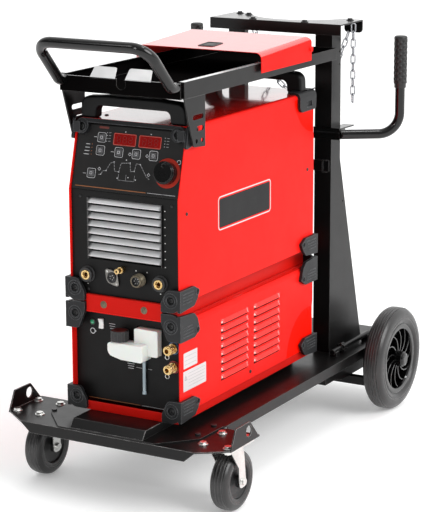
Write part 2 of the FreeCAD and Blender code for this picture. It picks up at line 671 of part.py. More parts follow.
GRILLE_HALF = 85.0
GRILLE_LOW = 472.0
GRILLE_HIGH = 593.0
SOCKETS = {"output_left": -86.5, "trigger": -29.0, "gas": -7.0, "remote": 35.0, "output_right": 79.0}
SOCKET_Z = 440.0


def source_front_panel():
    """Black front of the power source: vertical below, leaning above, with the grille opening."""
    half = CASE_HALF - CASE_SHEET - 0.1
    lower = box((-half, half), (6, 9), (402, TILT_START))
    lower = cut(lower, box((-GRILLE_HALF, GRILLE_HALF), (5, 10), (GRILLE_LOW, GRILLE_HIGH)))
    upper = panel_slab((-half, half), (-0.6, 143), (-5.2, -2.2))
    holes = [rod(10.2, (SOCKETS[name], 5, SOCKET_Z), (SOCKETS[name], 10, SOCKET_Z))
             for name in ("output_left", "output_right")]
    stems = [panel_slab((x - 4.5, x + 4.5), (up - 4.5, up + 4.5), (-8, 0)) for x, up in BUTTONS]
    shaft = panel_rod(3.5, *KNOB_AT, -8, 0)
    roof = SOURCE_TOP - CASE_SHEET - 0.2
    fold = SOURCE_FOLD_R - 1
    wrap_inside = slab("xz", 0, 90, [(-half, 400), (half, 400), (half, roof, fold), (-half, roof, fold)])
    return cut(fuse(lower, upper).common(wrap_inside), *holes, *stems, shaft)


def source_grille():
    """Louvred grille: eight sloping slats between two side strips."""
    pitch = (GRILLE_HIGH - GRILLE_LOW) / 8
    edge = GRILLE_HALF - 0.1
    strips = [box(sorted((side * (edge - 2), side * edge)), (3, 14), (GRILLE_LOW + 0.1, GRILLE_HIGH - 0.1))
              for side in (-1, 1)]
    slats = []
    for k in range(8):
        z = GRILLE_LOW + pitch * (k + 1)
        slats.append(slab("yz", -edge, 2 * edge, [
            (13.5, z - 2.6), (3, z - 10.4), (1.8, z - 9.0), (12, z - 0.8)]))
    return fuse(*strips, *slats)


def control_panel():
    """Flat overlay plate with square button openings and the encoder's hole."""
    plate = panel_slab((-119, 119), (2, PANEL_HEIGHT), (-2.2, 0))
    openings = [panel_slab((x - 6.4, x + 6.4), (up - 6.4, up + 6.4), (-3, 1)) for x, up in BUTTONS]
    corners = [panel_rod(15.3, side * 108, 123, -3, 1) for side in (-1, 1)]
    return cut(plate, *openings, *corners, panel_rod(3.5, *KNOB_AT, -3, 1))


def push_button(x, up):
    """Square key with a stem through the panel."""
    key = panel_slab((x - 6, x + 6), (up - 6, up + 6), (-0.8, 1.6))
    stem = panel_slab((x - 4, x + 4), (up - 4, up + 4), (-10, -0.8))
    return fuse(key, stem)


def control_knob():
    """Encoder knob on its shaft, with a small finger dimple near the rim."""
    x, up = KNOB_AT
    body = panel_rod(22, x, up, 0.8, 16)
    cap = panel_rod(19.5, x, up, 16, 19)
    shaft = panel_rod(3.5 - FIT, x, up, -9, 0.8)
    dimple = panel_rod(4, x, up + 13, 17.8, 20)
    return cut(fuse(body, cap, shaft), dimple)


def front_sockets():
    """Socket bodies: two output bosses, the oval trigger socket and the round remote socket."""
    bosses = []
    for name in ("output_left", "output_right"):
        x = SOCKETS[name]
        flange = ring(14, 6.6, (x, -3, SOCKET_Z), (x, 6, SOCKET_Z))
        neck = ring(10, 6.6, (x, 6, SOCKET_Z), (x, 30, SOCKET_Z))
        bosses.append(fuse(flange, neck))
    x = SOCKETS["trigger"]
    oval = slab("xz", 3.5, 2.5, [(x - 12, SOCKET_Z + 16, 5), (x + 2, SOCKET_Z + 16, 8),
                                 (x + 12, SOCKET_Z - 16, 5), (x - 2, SOCKET_Z - 16, 8)])
    barrel = ring(9, 7.5, (x, 1, SOCKET_Z), (x, 6, SOCKET_Z))
    insulator = rod(7.6, (x, 4, SOCKET_Z), (x, 6, SOCKET_Z))
    trigger = fuse(oval, barrel, insulator)
    x = SOCKETS["remote"]
    can = ring(11, 8.5, (x, -14, SOCKET_Z + 3), (x, 6, SOCKET_Z + 3))
    collar = ring(12.5, 8.5, (x, -2, SOCKET_Z + 3), (x, 3, SOCKET_Z + 3))
    insert = rod(8.6, (x, -8, SOCKET_Z + 3), (x, 6, SOCKET_Z + 3))
    return bosses + [trigger, fuse(can, collar, insert)]


def socket_inserts():
    """Brass bayonet inserts of the two output sockets."""
    return [ring(6.5, 4.2, (SOCKETS[name], -1, SOCKET_Z), (SOCKETS[name], 28, SOCKET_Z))
            for name in ("output_left", "output_right")]


def gas_outlet():
    """Brass quick-connect for the torch gas."""
    x, z = SOCKETS["gas"], 458.0
    nut = rod(6.5, (x, -3, z), (x, 6, z))
    nose = rod(4.5, (x, -16, z), (x, -3, z))
    rim = rod(5.5, (x, -15, z), (x, -12, z))
    bore = rod(2.2, (x, -17, z), (x, 0, z))
    return cut(fuse(nut, nose, rim), bore)


def rear_corner_moulding():
    """Cover over the power source's right-hand rear top corner, with a pocket in its side."""
    gap = 0.4
    wall = CASE_HALF + gap
    roof = SOURCE_TOP + gap
    wrap = slab("xz", 484, 73, [(wall, 704), (wall + 6, 704), (wall + 6, roof + 5, 14), (100, roof + 5),
                                (100, roof), (wall, roof, SOURCE_FOLD_R)])
    outline = slab("yz", 95, 40, [(484, 714, 4), (491, 704.5, 6), (555, 705, 5), (557, 756), (484, 756)])
    pocket = slab("yz", wall + 3, 4, [(514, 712, 3), (537, 713, 3), (537, 725, 3), (514, 725, 3)])
    arch_foot = box((90, 122), (507.7, 534.3), (roof - 1, roof + 10))
    return cut(wrap.common(outline), pocket, arch_foot)


def front_moulding():
    """Grey moulding round the top corners of the leaning front, one boss at each end."""
    rail = panel_slab((-112, 112), (131, MOULDING_TOP), (-2.2, 7))
    corners = [panel_rod(MOULDING_CORNER_R, side * 105, MOULDING_TOP - MOULDING_CORNER_R, -2.2, 7).common(
        panel_slab(sorted((side * 105, side * 126)), (MOULDING_FOOT + 0.4, MOULDING_TOP), (-2.2, 7)))
        for side in (-1, 1)]
    bosses = [panel_rod(15, side * 108, 123, -2.2, 9) for side in (-1, 1)]
    bolts = [panel_rod(8, side * 108, 122, 4, 10) for side in (-1, 1)]
    cheeks = []
    for side in (-1, 1):
        cheek = slab("yz", CASE_HALF + 0.4, 5.5, [
            (20, 700, 4), (60, 708, 6), (66, 734, 6), (58, 742), (30, 742, 6)])
        web = box((CASE_HALF - 14, CASE_HALF + 0.6), (22, 27.6), (715, 736))
        piece = fuse(cheek, web)
        cheeks.append(piece if side > 0 else mirrored(piece))
    bezel = fuse(rail, *corners, *bosses, *cheeks)
    lip = panel_slab((CASE_HALF - 2.3, CASE_HALF + 0.3), (60, MOULDING_FOOT), (-60, 4.6))
    wall = fuse(lip, panel_slab((CASE_HALF - 2.3, CASE_HALF + 0.3), (60, 160), (-60, -2.2)))
    behind = panel_slab((-130, 130), (-5, 152), (-40, -2.2))
    inside = behind.common(box((-CASE_HALF, CASE_HALF), (0, 90), (600, 760)))
    return cut(bezel, *bolts, wall, mirrored(wall), inside)


def arch_handle(front):
    """Carrying handle standing on the power source's roof, its face at y = front."""
    depth = 26.0
    low = SOURCE_TOP
    outer = slab("xz", front, depth, [(-118, low), (-116.5, 783, 19), (-60, 787, 60),
                                      (60, 787, 60), (116.5, 783, 19), (118, low)])
    gap = slab("xz", front - 1, depth + 2, [(-84, low - 1), (-82, 766, 11), (82, 766, 11), (84, low - 1)])
    return cut(outer, gap)


def source_rear_panel():
    """Back of the power source with the fan opening and the switch and inlet holes."""
    half = CASE_HALF - CASE_SHEET - 0.1
    panel = end_panel(half, 548, 402, SOURCE_TOP - CASE_SHEET - 0.2, SOURCE_FOLD_R - 1)
    return cut(panel, rod(56, (0, 547, 560), (0, 552, 560)), rod(5 + FIT, (70, 547, 690), (70, 552, 690)),
               rod(9.2, (-60, 547, 450), (-60, 552, 450)), rod(5.2, (60, 547, 450), (60, 552, 450)))


def end_panel(half, y, low, high, radius):
    """Sheet that closes one end of a case, its top corners rounded to clear the folded wrap."""
    return slab("xz", y, 2.5, [(-half, low), (half, low), (half, high, radius), (-half, high, radius)])


def fan(radius, y, z, hub_radius, count):
    """Axial fan rotor spinning about the Y axis, with a stub shaft towards the front."""
    hub = rod(hub_radius, (0, y, z), (0, y + 18, z))
    shaft = rod(3, (0, y - 12, z), (0, y, z))
    blades = []
    for k in range(count):
        root = hub_radius - 2.5
        blade = slab("xy", root, radius - root, [(-6, 3), (-5, 1.6), (6, 13), (5, 14.4)])
        blade.rotate(Vector(0, 0, 0), Vector(0, 1, 0), 360 / count * k)
        blade.translate(Vector(0, y, z))
        blades.append(blade)
    return fuse(hub, shaft, *blades)


def power_module():
    """Inside the power source: finned heat sink, circuit board, transformer and fan motor."""
    base = box((-70, 70), (120, 400), (440, 452))
    fins = [box((x, x + 3), (120, 400), (450, 500)) for x in range(-70, 70, 14)]
    board = box((-100, 100), (60, 460), (516, 519))
    core = box((-45, 45), (180, 320), (525, 600))
    coil = box((-30, 30), (160, 340), (540, 585))
    floor_feet = box((-20, 20), (140, 380), (SOURCE_BASE + CASE_SHEET, 441))
    stack_post = box((-6, 6), (240, 260), (499, 526))
    motor = cut(rod(19, (0, 480, 560), (0, 520, 560)), rod(3 + FIT, (0, 500, 560), (0, 521, 560)))
    arm = box((-8, 8), (338, 482), (552, 568))
    return fuse(base, *fins, board, core, coil, floor_feet, stack_post, motor, arm)


def mains_switch():
    """Rotary mains switch on the back: bar grip on a round base."""
    x, z = 70.0, 690.0
    shaft = rod(5, (x, 540, z), (x, 551, z))
    base = rod(16, (x, 550.9, z), (x, 556, z))
    grip = box((x - 3.5, x + 3.5), (555, 566), (z - 15, z + 15))
    return fuse(shaft, base, grip)


def rear_inlets():
    """Mains cable gland and gas inlet nipple on the back of the power source."""
    gland = fuse(rod(12, (-60, 550.5, 450), (-60, 560, 450)), rod(9, (-60, 545, 450), (-60, 568, 450)))
    nipple = fuse(rod(8, (60, 550.5, 450), (60, 556, 450)), rod(4, (60, 540, 450), (60, 569, 450)),
                  rod(5, (60, 545, 450), (60, 551, 450)))
    return [gland, nipple]


# ---------------------------------------------------------------- cooler
TANK_WINDOW = ((18.5, 74.5), (291.0, 347.0))
COOLER_PANEL_Y = 15.0
FITTING_X = 102.0
FITTING_HEIGHTS = (313.5, 275.5)
ROCKER_AT = (-63.2, 340.6)
TANK_NECK = (-9.0, -3.6)


def cooler_shell():
    """Red wrap of the cooler, with two columns of slots pressed in each side."""
    outer = box((-CASE_HALF, CASE_HALF), (0, CASE_DEPTH), (COOLER_WALL, COOLER_TOP))
    edges = [e for e in outer.Edges if e.BoundBox.YLength > 400 and e.BoundBox.ZMin > COOLER_WALL + 10]
    outer = outer.makeFillet(12, edges)
    t = CASE_SHEET
    core = box((-CASE_HALF + t, CASE_HALF - t), (-1, CASE_DEPTH + 1), (COOLER_WALL - 1, COOLER_TOP - t))
    core_edges = [e for e in core.Edges if e.BoundBox.YLength > 400 and e.BoundBox.ZMin > COOLER_WALL + 10]
    core = core.makeFillet(12 - t, core_edges)
    slots = []
    for y in (160, 295):
        for row in range(8):
            z = 212 + 16.2 * row
            slots.append(box((-CASE_HALF - 1, CASE_HALF + 1), (y, y + 110), (z, z + 3.2)))
    pressing = pressed_corner(*COOLER_PRESSING)
    return cut(outer, core, *slots, pressing, mirrored(pressing))


def cooler_front_panel():
    """Black recessed front with the tank window and the holes for switch, lamp and couplings."""
    half = CASE_HALF - CASE_SHEET - 0.1
    window_x, window_z = TANK_WINDOW
    y = (COOLER_PANEL_Y - 1, COOLER_PANEL_Y + 4)
    panel = end_panel(half, COOLER_PANEL_Y, COOLER_WALL, COOLER_TOP - CASE_SHEET - 0.2, 13)
    rx, rz = ROCKER_AT
    holes = [box(window_x, y, window_z), box((rx - 5.8, rx + 5.8), y, (rz - 11.5, rz + 11.5)),
             rod(4, (-83.3, y[0], 341.9), (-83.3, y[1], 341.9))]
    holes += [rod(7.2, (FITTING_X, y[0], z), (FITTING_X, y[1], z)) for z in FITTING_HEIGHTS]
    return cut(panel, *holes)


def reservoir():
    """Translucent coolant tank: a deep body behind the window and a filler lobe in front."""
    body = slab("xz", 2, 88, [(20, 292.5, 4), (73, 292.5, 4), (73, 345, 4), (20, 345, 4)])
    lobe = slab("xz", -17.5, 32, [(-29, 291, 14), (2, 284, 6), (50, 283, 5), (50, 316, 5), (-29, 316, 6)])
    x, y = TANK_NECK
    neck = ring(13, 10, (x, y, 315), (x, y, 334))
    hollow = box((-20, 46), (-12, 11), (290, 312))
    mouth = rod(10, (x, y, 300), (x, y, 335))
    return cut(fuse(body, lobe, neck), hollow, mouth)


def reservoir_cap():
    """Ribbed screw cap over the tank's neck."""
    x, y = TANK_NECK
    cap = cut(rod(17, (x, y, 318.4), (x, y, 339)), rod(13.3, (x, y, 317), (x, y, 335)))
    ribs = []
    for k in range(16):
        angle = math.radians(22.5 * k)
        ribs.append(rod(1.2, (x + 17 * math.cos(angle), y + 17 * math.sin(angle), 319),
                        (x + 17 * math.cos(angle), y + 17 * math.sin(angle), 337)))
    return fuse(cap, *ribs)


def level_tube():
    """Clear level tube hanging from the tank in front of the panel."""
    return fuse(rod(3.3, (37, 10.5, 214), (37, 10.5, 283)), rod(4.2, (37, 10.5, 213), (37, 10.5, 218)))


def cooler_rocker():
    """Rocker switch with its crosswise pivot pin."""
    x, z = ROCKER_AT
    pivot_y = 19.6
    key = slab("yz", x - 5.2, 10.4, [(22, z - 10), (13, z - 10), (14.4, z, 8), (10.5, z + 10), (22, z + 10)])
    return fuse(key, rod(1.5, (x - 6.2, pivot_y, z), (x + 6.2, pivot_y, z)))


def coolant_couplings():
    """Brass quick couplings for coolant out and return."""
    pieces = []
    x = FITTING_X
    for z in FITTING_HEIGHTS:
        nut = rod(10, (x, 9, z), (x, 15, z))
        body = rod(7, (x, -13, z), (x, 26, z))
        collar = rod(8.8, (x, -6, z), (x, 2, z))
        bore = rod(4.5, (x, -14, z), (x, 8, z))
        pieces.append(cut(fuse(nut, body, collar), bore))
    return pieces


def cooler_rear_panel():
    """Back of the cooler with its fan opening."""
    half = CASE_HALF - CASE_SHEET - 0.1
    panel = end_panel(half, 546, COOLER_WALL, COOLER_TOP - CASE_SHEET - 0.2, 13)
    return cut(panel, rod(74, (0, 545, 270), (0, 550, 270)))


def radiator():
    """Finned radiator block between two tanks, with the fan motor's stay."""
    core = box((-85, 85), (430, 462), (190, 348))
    fins = [box((-80, 80), (429, 431), (z, z + 6)) for z in range(196, 340, 12)]
    fins += [box((-80, 80), (461, 463), (z, z + 6)) for z in range(196, 340, 12)]
    stay = cut(rod(20, (0, 460, 270), (0, 500, 270)), rod(3 + FIT, (0, 470, 270), (0, 501, 270)))
    feet = box((-60, 60), (432, 460), (COOLER_BASE + CASE_SHEET, 191))
    return fuse(core, *fins, stay, feet)


def coolant_pump():
    """Vane pump on its motor, standing on the cooler's base."""
    motor = rod(34, (-40, 150, 232), (-40, 280, 232))
    head = rod(24, (-40, 280, 232), (-40, 330, 232))
    foot = box((-70, -10), (170, 260), (COOLER_BASE + CASE_SHEET, 205))
    ports = rod(6, (-40, 305, 232), (-40, 305, 275))
    return fuse(motor, head, foot, ports)


# ---------------------------------------------------------------- write every node
def both(shape):
    """A piece and its mirror image."""
    return shape, mirrored(shape)


def main():
    save("front_plate", front_plate())
    save("platform", platform())
    save("plinth", plinth())
    save("rear_columns", *both(rear_column()))
    save("top_plate", top_plate())
    save("axle_carrier", axle_carrier(), cross_bar())
    save("deck_clamp", deck_clamp())
    save("cart_bolts", *cart_bolts())
    save("side_handles", *both(side_handle()))
    save("handle_grips", *both(handle_grip()))
    save("tool_tray", tool_tray())
    save("tray_handle", tray_handle())
    save("tray_brackets", *both(tray_bracket()))
    save("tray_lid", tray_lid())
    save("bottle_chain", *bottle_chain())

    save("caster_plates", *both(caster_plate()))
    save("rear_axle", rear_axle())
    for side, flip in (("right", lambda shape: shape), ("left", mirrored)):
        save("caster_fork_" + side, flip(caster_fork()), flip(caster_axle()))
        save("caster_wheel_" + side, flip(caster_wheel()))
        save("rear_tyre_" + side, flip(rear_tyre()))
        save("rear_rim_" + side, flip(rear_rim()))

    save("unit_bases", *unit_bases())
    save("source_bumpers", *bumper_set([(389.0, 433.0)]))
    save("cooler_bumpers", *bumper_set([(386.0, 332.0), (169.0, 213.0)]))

    save("source_shell", source_shell())
    save("source_front_panel", source_front_panel())
    save("source_grille", source_grille())
    save("control_panel", control_panel())
    for number, (x, up) in enumerate(BUTTONS, 1):
        save("push_button_" + str(number), push_button(x, up))
    save("control_knob", control_knob())
    save("front_sockets", *front_sockets())
    save("socket_inserts", *socket_inserts())
    save("gas_outlet", gas_outlet())
    save("top_mouldings", front_moulding(), *both(rear_corner_moulding()))
    save("arch_handles", arch_handle(38), arch_handle(508))
    save("source_rear_panel", source_rear_panel())
    save("source_fan", fan(52, 525, 560, 16, 7))
    save("power_module", power_module())
    save("mains_switch", mains_switch())
    save("rear_inlets", *rear_inlets())

    save("cooler_shell", cooler_shell())
    save("cooler_front_panel", cooler_front_panel())
    save("reservoir", reservoir())
    save("reservoir_cap", reservoir_cap())
    save("level_tube", level_tube())
    save("cooler_rocker", cooler_rocker())
    save("coolant_couplings", *coolant_couplings())
    save("cooler_rear_panel", cooler_rear_panel())
    save("radiator", radiator())
    save("cooler_fan", fan(68, 505, 270, 20, 6))
    save("coolant_pump", coolant_pump())


main()
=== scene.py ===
"""Finish, small details, light and camera for the TIG welder on its cart.

Details are placed in machine millimetres: x to the right, y back from the cases' front edge, z up from the
floor. Flat faces have a place of their own, in millimetres across, up and out of the face.
"""
import bmesh
import bpy
import json
from math import atan2, copysign, cos, pi, radians, sin, sqrt, tau
from mathutils import Matrix, Vector
from mathutils.geometry import convex_hull_2d

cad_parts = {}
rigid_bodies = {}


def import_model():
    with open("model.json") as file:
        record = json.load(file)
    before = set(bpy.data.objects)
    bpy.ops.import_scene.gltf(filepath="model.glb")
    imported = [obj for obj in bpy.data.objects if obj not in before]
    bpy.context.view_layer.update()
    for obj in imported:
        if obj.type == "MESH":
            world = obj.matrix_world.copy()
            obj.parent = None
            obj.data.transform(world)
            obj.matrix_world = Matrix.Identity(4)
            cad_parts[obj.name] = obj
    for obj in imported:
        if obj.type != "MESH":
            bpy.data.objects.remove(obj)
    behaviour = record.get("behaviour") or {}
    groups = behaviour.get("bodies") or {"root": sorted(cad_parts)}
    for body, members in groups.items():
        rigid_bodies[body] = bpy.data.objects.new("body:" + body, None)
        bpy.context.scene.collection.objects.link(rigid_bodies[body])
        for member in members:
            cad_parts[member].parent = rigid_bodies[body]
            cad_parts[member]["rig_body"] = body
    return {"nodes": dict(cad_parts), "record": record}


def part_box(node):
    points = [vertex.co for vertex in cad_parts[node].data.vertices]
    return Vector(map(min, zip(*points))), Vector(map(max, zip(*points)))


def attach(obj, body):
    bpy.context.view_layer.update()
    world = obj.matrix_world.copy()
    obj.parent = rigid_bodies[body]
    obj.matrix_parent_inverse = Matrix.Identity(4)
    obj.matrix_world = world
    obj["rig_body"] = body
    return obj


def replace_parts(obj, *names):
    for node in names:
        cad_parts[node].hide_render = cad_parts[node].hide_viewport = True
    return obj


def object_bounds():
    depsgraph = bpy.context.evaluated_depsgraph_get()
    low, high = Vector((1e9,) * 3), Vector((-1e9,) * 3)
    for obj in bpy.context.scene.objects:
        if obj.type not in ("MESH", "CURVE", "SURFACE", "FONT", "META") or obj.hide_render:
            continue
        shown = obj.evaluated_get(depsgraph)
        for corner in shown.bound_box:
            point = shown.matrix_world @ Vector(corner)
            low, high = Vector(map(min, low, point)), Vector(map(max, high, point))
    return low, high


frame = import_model()
cad_low, cad_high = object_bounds()

MM = 0.001
CASE_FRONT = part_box("cooler_shell")[0].y
CASE_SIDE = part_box("cooler_shell")[1].x / MM
CASE_DEPTH = (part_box("cooler_shell")[1].y - CASE_FRONT) / MM

# ---- driving places, millimetres
PANEL_TILT = radians(14.4)
PANEL_FOOT = (4, 606)  # y and z of the lower edge of the leaning panel
KNOB_AT = (90.5, 49)
KEYS = [(-64, 104.5), (-64, 79.5), (-22, 79), (17.3, 79), (55.6, 79), (-78.5, 34.5)]
DISPLAYS = [(-35.3, 11.9), (21.7, 68)]
DISPLAY_UP = (94, 114)
SOCKET_Z = 440
OUTPUT_X = (-86.5, 79)
TRIGGER_X = -29
REMOTE_CENTRE = (35, 443)
FITTING_X = 102
FITTING_HEIGHTS = (313.5, 275.5)
LAMP_AT = (-83.3, 341.9)
LOUVRE_ROWS = [212 + 16.2 * row for row in range(8)]
LOUVRE_STARTS = (160, 295)
LOUVRE_LENGTH = 110


# ---- placing
def at(x, y, z):
    """Machine millimetres to the frame's metres."""
    return Vector((x * MM, CASE_FRONT + y * MM, z * MM))


def facing(origin, across, up):
    """Place of a flat face: millimetres across, up and out of it to the frame's metres."""
    across = Vector(across).normalized()
    up = Vector(up).normalized()
    turn = Matrix((across, up, across.cross(up))).transposed().to_4x4()
    return Matrix.Translation(origin) @ turn @ Matrix.Scale(MM, 4)


X_AXIS, Y_AXIS, Z_AXIS = (1, 0, 0), (0, 1, 0), (0, 0, 1)


def upright_face(y):
    """The upright face that looks forward at a depth."""
    return facing(at(0, y, 0), X_AXIS, Z_AXIS)


def back_face(y):
    """The upright face that looks back at a depth."""
    return facing(at(0, y, 0), (-1, 0, 0), Z_AXIS)


def level_face(z):
    """The level face that looks up at a height."""
    return facing(at(0, 0, z), X_AXIS, Y_AXIS)


PANEL = facing(at(0, *PANEL_FOOT), X_AXIS, (0, sin(PANEL_TILT), cos(PANEL_TILT)))
LOWER_FRONT = upright_face(6)
COOLER_FRONT = upright_face(15)
BAND_FRONT = upright_face(-2)
RIGHT_SIDE = facing(at(CASE_SIDE, 0, 0), Y_AXIS, Z_AXIS)
LEFT_SIDE = facing(at(-CASE_SIDE, 0, 0), (0, -1, 0), Z_AXIS)
SIDES = ((RIGHT_SIDE, 1), (LEFT_SIDE, -1))
SOURCE_BACK = back_face(550.5)
COOLER_BACK = back_face(548.5)
LID_TOP = facing(at(0, 287, 853), X_AXIS, (0, 216, 11))


# ---- outlines
def polar(centre, radius, turn):
    """The point at a distance and an angle in radians from the centre."""
    return centre[0] + radius * cos(turn), centre[1] + radius * sin(turn)


def arc(centre, radius, start, end, steps):
    """Points along an arc, angles in degrees."""
    return [polar(centre, radius, radians(start + (end - start) * k / steps)) for k in range(steps + 1)]


def circle(centre, radius, count=32):
    return arc(centre, radius, 0, 360, count)[:-1]


def rounded(a, b, radius):
    """Rectangle with round corners, anticlockwise."""
    points = []
    corners = [(a[1], b[0], -90), (a[1], b[1], 0), (a[0], b[1], 90), (a[0], b[0], 180)]
    for x, y, start in corners:
        inner = (x - radius if x == a[1] else x + radius, y - radius if y == b[1] else y + radius)
        points += arc(inner, radius, start, start + 90, 5)
    return points


def inset(outline, distance):
    """The anticlockwise outline moved inward."""
    moved = []
    for k, point in enumerate(outline):
        here = Vector(point)
        before = (here - Vector(outline[k - 1])).normalized()
        after = (Vector(outline[(k + 1) % len(outline)]) - here).normalized()
        inward = Vector((-before.y - after.y, before.x + after.x)).normalized()
        sharpness = max(0.5, inward.dot(Vector((-after.y, after.x))))
        moved.append(tuple(here + inward * (distance / sharpness)))
    return moved


# ---- solids added to a bmesh
def loop_of(bm, place, outline, level):
    return [bm.verts.new(place @ Vector((a, b, level))) for a, b in outline]


def bridge(bm, first, second, mark=0):
    """Faces between two closed loops of the same count, or between a loop and one point."""
    if len(first) == 1:
        first, second = second, first
    for k, corner in enumerate(first):
        after = (k + 1) % len(first)
        far = [second[after], second[k]] if len(second) > 1 else second
        bm.faces.new([corner, first[after], *far]).material_index = mark


def tube(bm, loops, closed=False):
    """Faces between each loop and the next; the ends are capped unless it closes into a ring."""
    for first, second in zip(loops, loops[1:]):
        bridge(bm, first, second)
    if closed:
        bridge(bm, loops[-1], loops[0])
    else:
        bm.faces.new(loops[0])
        bm.faces.new(loops[-1][::-1])


def prism(bm, place, outline, low, high, chamfer=0):
    """Solid raised over an outline, with a chamfered top edge."""
    loops = [loop_of(bm, place, outline, low), loop_of(bm, place, outline, high - chamfer)]
    if chamfer > 0:
        loops.append(loop_of(bm, place, inset(outline, chamfer), high))
    tube(bm, loops)


def band(bm, place, outer, inner, low, high):
    """Raised band between two outlines of the same count."""
    loops = [loop_of(bm, place, outer, low), loop_of(bm, place, outer, high),
             loop_of(bm, place, inner, high), loop_of(bm, place, inner, low)]
    tube(bm, loops, closed=True)


def border(bm, place, outline, width, low, high):
    """Raised band of constant width inside an outline."""
    band(bm, place, outline, inset(outline, width), low, high)


def stroke(bm, place, points, width, low=0, high=0.15):
    """Line of constant width through the points."""
    sections = []
    for k, point in enumerate(points):
        here = Vector(point)
        ahead = Vector(points[min(k + 1, len(points) - 1)]) - here
        behind = here - Vector(points[max(k - 1, 0)])
        ahead = ahead.normalized() if ahead.length else behind.normalized()
        behind = behind.normalized() if behind.length else ahead
        side = Vector((-ahead.y - behind.y, ahead.x + behind.x)).normalized()
        side *= width / 2 / max(0.5, side.dot(Vector((-ahead.y, ahead.x))))
        corners = [(here + side, low), (here + side, high), (here - side, high), (here - side, low)]
        sections.append([bm.verts.new(place @ Vector((p.x, p.y, level))) for p, level in corners])
    tube(bm, sections)


def lathe(bm, place, centre, profile, count=32, closed=False, mark=lambda radius: 0):
    """Turned shape about the face's outward axis; the profile lists (radius, out)."""
    loops = [loop_of(bm, place, circle(centre, radius, count) if radius > 0 else [centre], out)
             for radius, out in profile]
    for k in range(0 if closed else 1, len(loops)):
        bridge(bm, loops[k - 1], loops[k], mark((profile[k - 1][0] + profile[k][0]) / 2))


def wire(bm, points, radius, closed=False, sides=10):
    """Round wire through points in the frame's metres."""
    count = len(points)
    loops = []
    normal = None
    for k, point in enumerate(points):
        ahead = points[(k + 1) % count] if closed or k < count - 1 else point
        behind = points[k - 1] if closed or k > 0 else point
        along = (ahead - behind).normalized()
        if normal is None:
            normal = along.orthogonal().normalized()
        normal = (normal - along * normal.dot(along)).normalized()
        other = along.cross(normal)
        around = circle((0, 0), radius, sides)
        loops.append([bm.verts.new(point + normal * a + other * b) for a, b in around])
    tube(bm, loops, closed)


def studs(bm, place, centres, radius, height, count=10, chamfer=0):
    """Small round dots or rivets."""
    for centre in centres:
        prism(bm, place, circle(centre, radius, count), 0, height, chamfer)


def pan_screw(bm, place, centre, radius, base=0, height=2.4):
    """Domed screw head with a hexagonal socket."""
    socket = radius * 0.5
    lathe(bm, place, centre, [(radius, base), (radius, base + height * 0.35),
                              (radius * 0.86, base + height * 0.8), (radius * 0.62, base + height),
                              (socket, base + height)], 24)
    lathe(bm, place, centre, [(socket, base + height), (socket * 0.95, base + height * 0.35),
                              (0, base + height * 0.3)], 6)


# ---- pieces
SLOT_OF = {row["node"]: row["material_slot"] for row in frame["record"]["subparts"]}


def piece(name, bm, material, body="machine", smooth=35):
    """Turns a bmesh into a named piece that rides on a body."""
    bmesh.ops.recalc_face_normals(bm, faces=bm.faces)
    mesh = bpy.data.meshes.new(name)
    bm.to_mesh(mesh)
    bm.free()
    mesh.polygons.foreach_set("use_smooth", [True] * len(mesh.polygons))
    mesh.set_sharp_from_angle(angle=radians(smooth))
    materials = material if isinstance(material, list) else [material]
    for entry in materials:
        mesh.materials.append(entry)
    made = bpy.data.objects.new(name, mesh)
    link(made)
    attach(made, body)
    return made


def turned(name, material, place, centre, profile, count, body="machine"):
    """A piece that is one turned shape."""
    bm = bmesh.new()
    lathe(bm, place, centre, profile, count)
    piece(name, bm, material, body)


def link(made):
    """Puts an object in the scene."""
    bpy.context.scene.collection.objects.link(made)


def body_of_node(node):
    """The body that a CAD node rides on."""
    return frame["nodes"][node]["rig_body"]


def softened(node, width, material, segments=2, angle=35, mark=None):
    """A copy of a CAD node with its sharp edges rounded, which stands for the node; mark picks materials."""
    bm = bmesh.new()
    bm.from_mesh(frame["nodes"][node].data)
    bmesh.ops.remove_doubles(bm, verts=bm.verts, dist=3e-6)
    bmesh.ops.dissolve_limit(bm, angle_limit=radians(0.6), verts=bm.verts, edges=bm.edges)
    sharp = [e for e in bm.edges if len(e.link_faces) == 2 and e.calc_face_angle() > radians(angle)]
    bmesh.ops.bevel(bm, geom=sharp, offset=width * MM, segments=segments, profile=0.5, affect="EDGES",
                    clamp_overlap=True)
    if mark:
        bmesh.ops.recalc_face_normals(bm, faces=bm.faces)
        for face in bm.faces:
            face.material_index = mark(face)
    made = piece(node + "_finished", bm, material, body_of_node(node), 50)
    weighted = made.modifiers.new("even_shading", "WEIGHTED_NORMAL")
    weighted.keep_sharp = True
    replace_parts(made, node)
    return made


# ---- materials
def node_of(tree, kind, inputs=None, **settings):
    """Adds a node, sets its properties and its unlinked inputs."""
    made = tree.nodes.new(kind)
    for key, value in settings.items():
        setattr(made, key, value)
    for key, value in (inputs or {}).items():
        made.inputs[key].default_value = value
    return made


def new_material(name):
    """A material with its node tree and its main shader."""
    material = bpy.data.materials.new(name)
    material.use_nodes = True
    return material, material.node_tree, material.node_tree.nodes["Principled BSDF"]


def noise(tree, coordinates, scale, detail=3, stretch=(1, 1, 1)):
    """Noise factor at a scale in waves per metre, stretched along the axes."""
    mapping = node_of(tree, "ShaderNodeMapping", {"Scale": stretch})
    texture = node_of(tree, "ShaderNodeTexNoise", {"Scale": scale, "Detail": detail})
    tree.links.new(coordinates, mapping.inputs["Vector"])
    tree.links.new(mapping.outputs["Vector"], texture.inputs["Vector"])
    return texture.outputs["Fac"]


def ranged(tree, value, low, high, to_low, to_high):
    """The value mapped from one range to another and held inside it."""
    made = node_of(tree, "ShaderNodeMapRange",
                   {"From Min": low, "From Max": high, "To Min": to_low, "To Max": to_high})
    tree.links.new(value, made.inputs["Value"])
    return made.outputs["Result"]


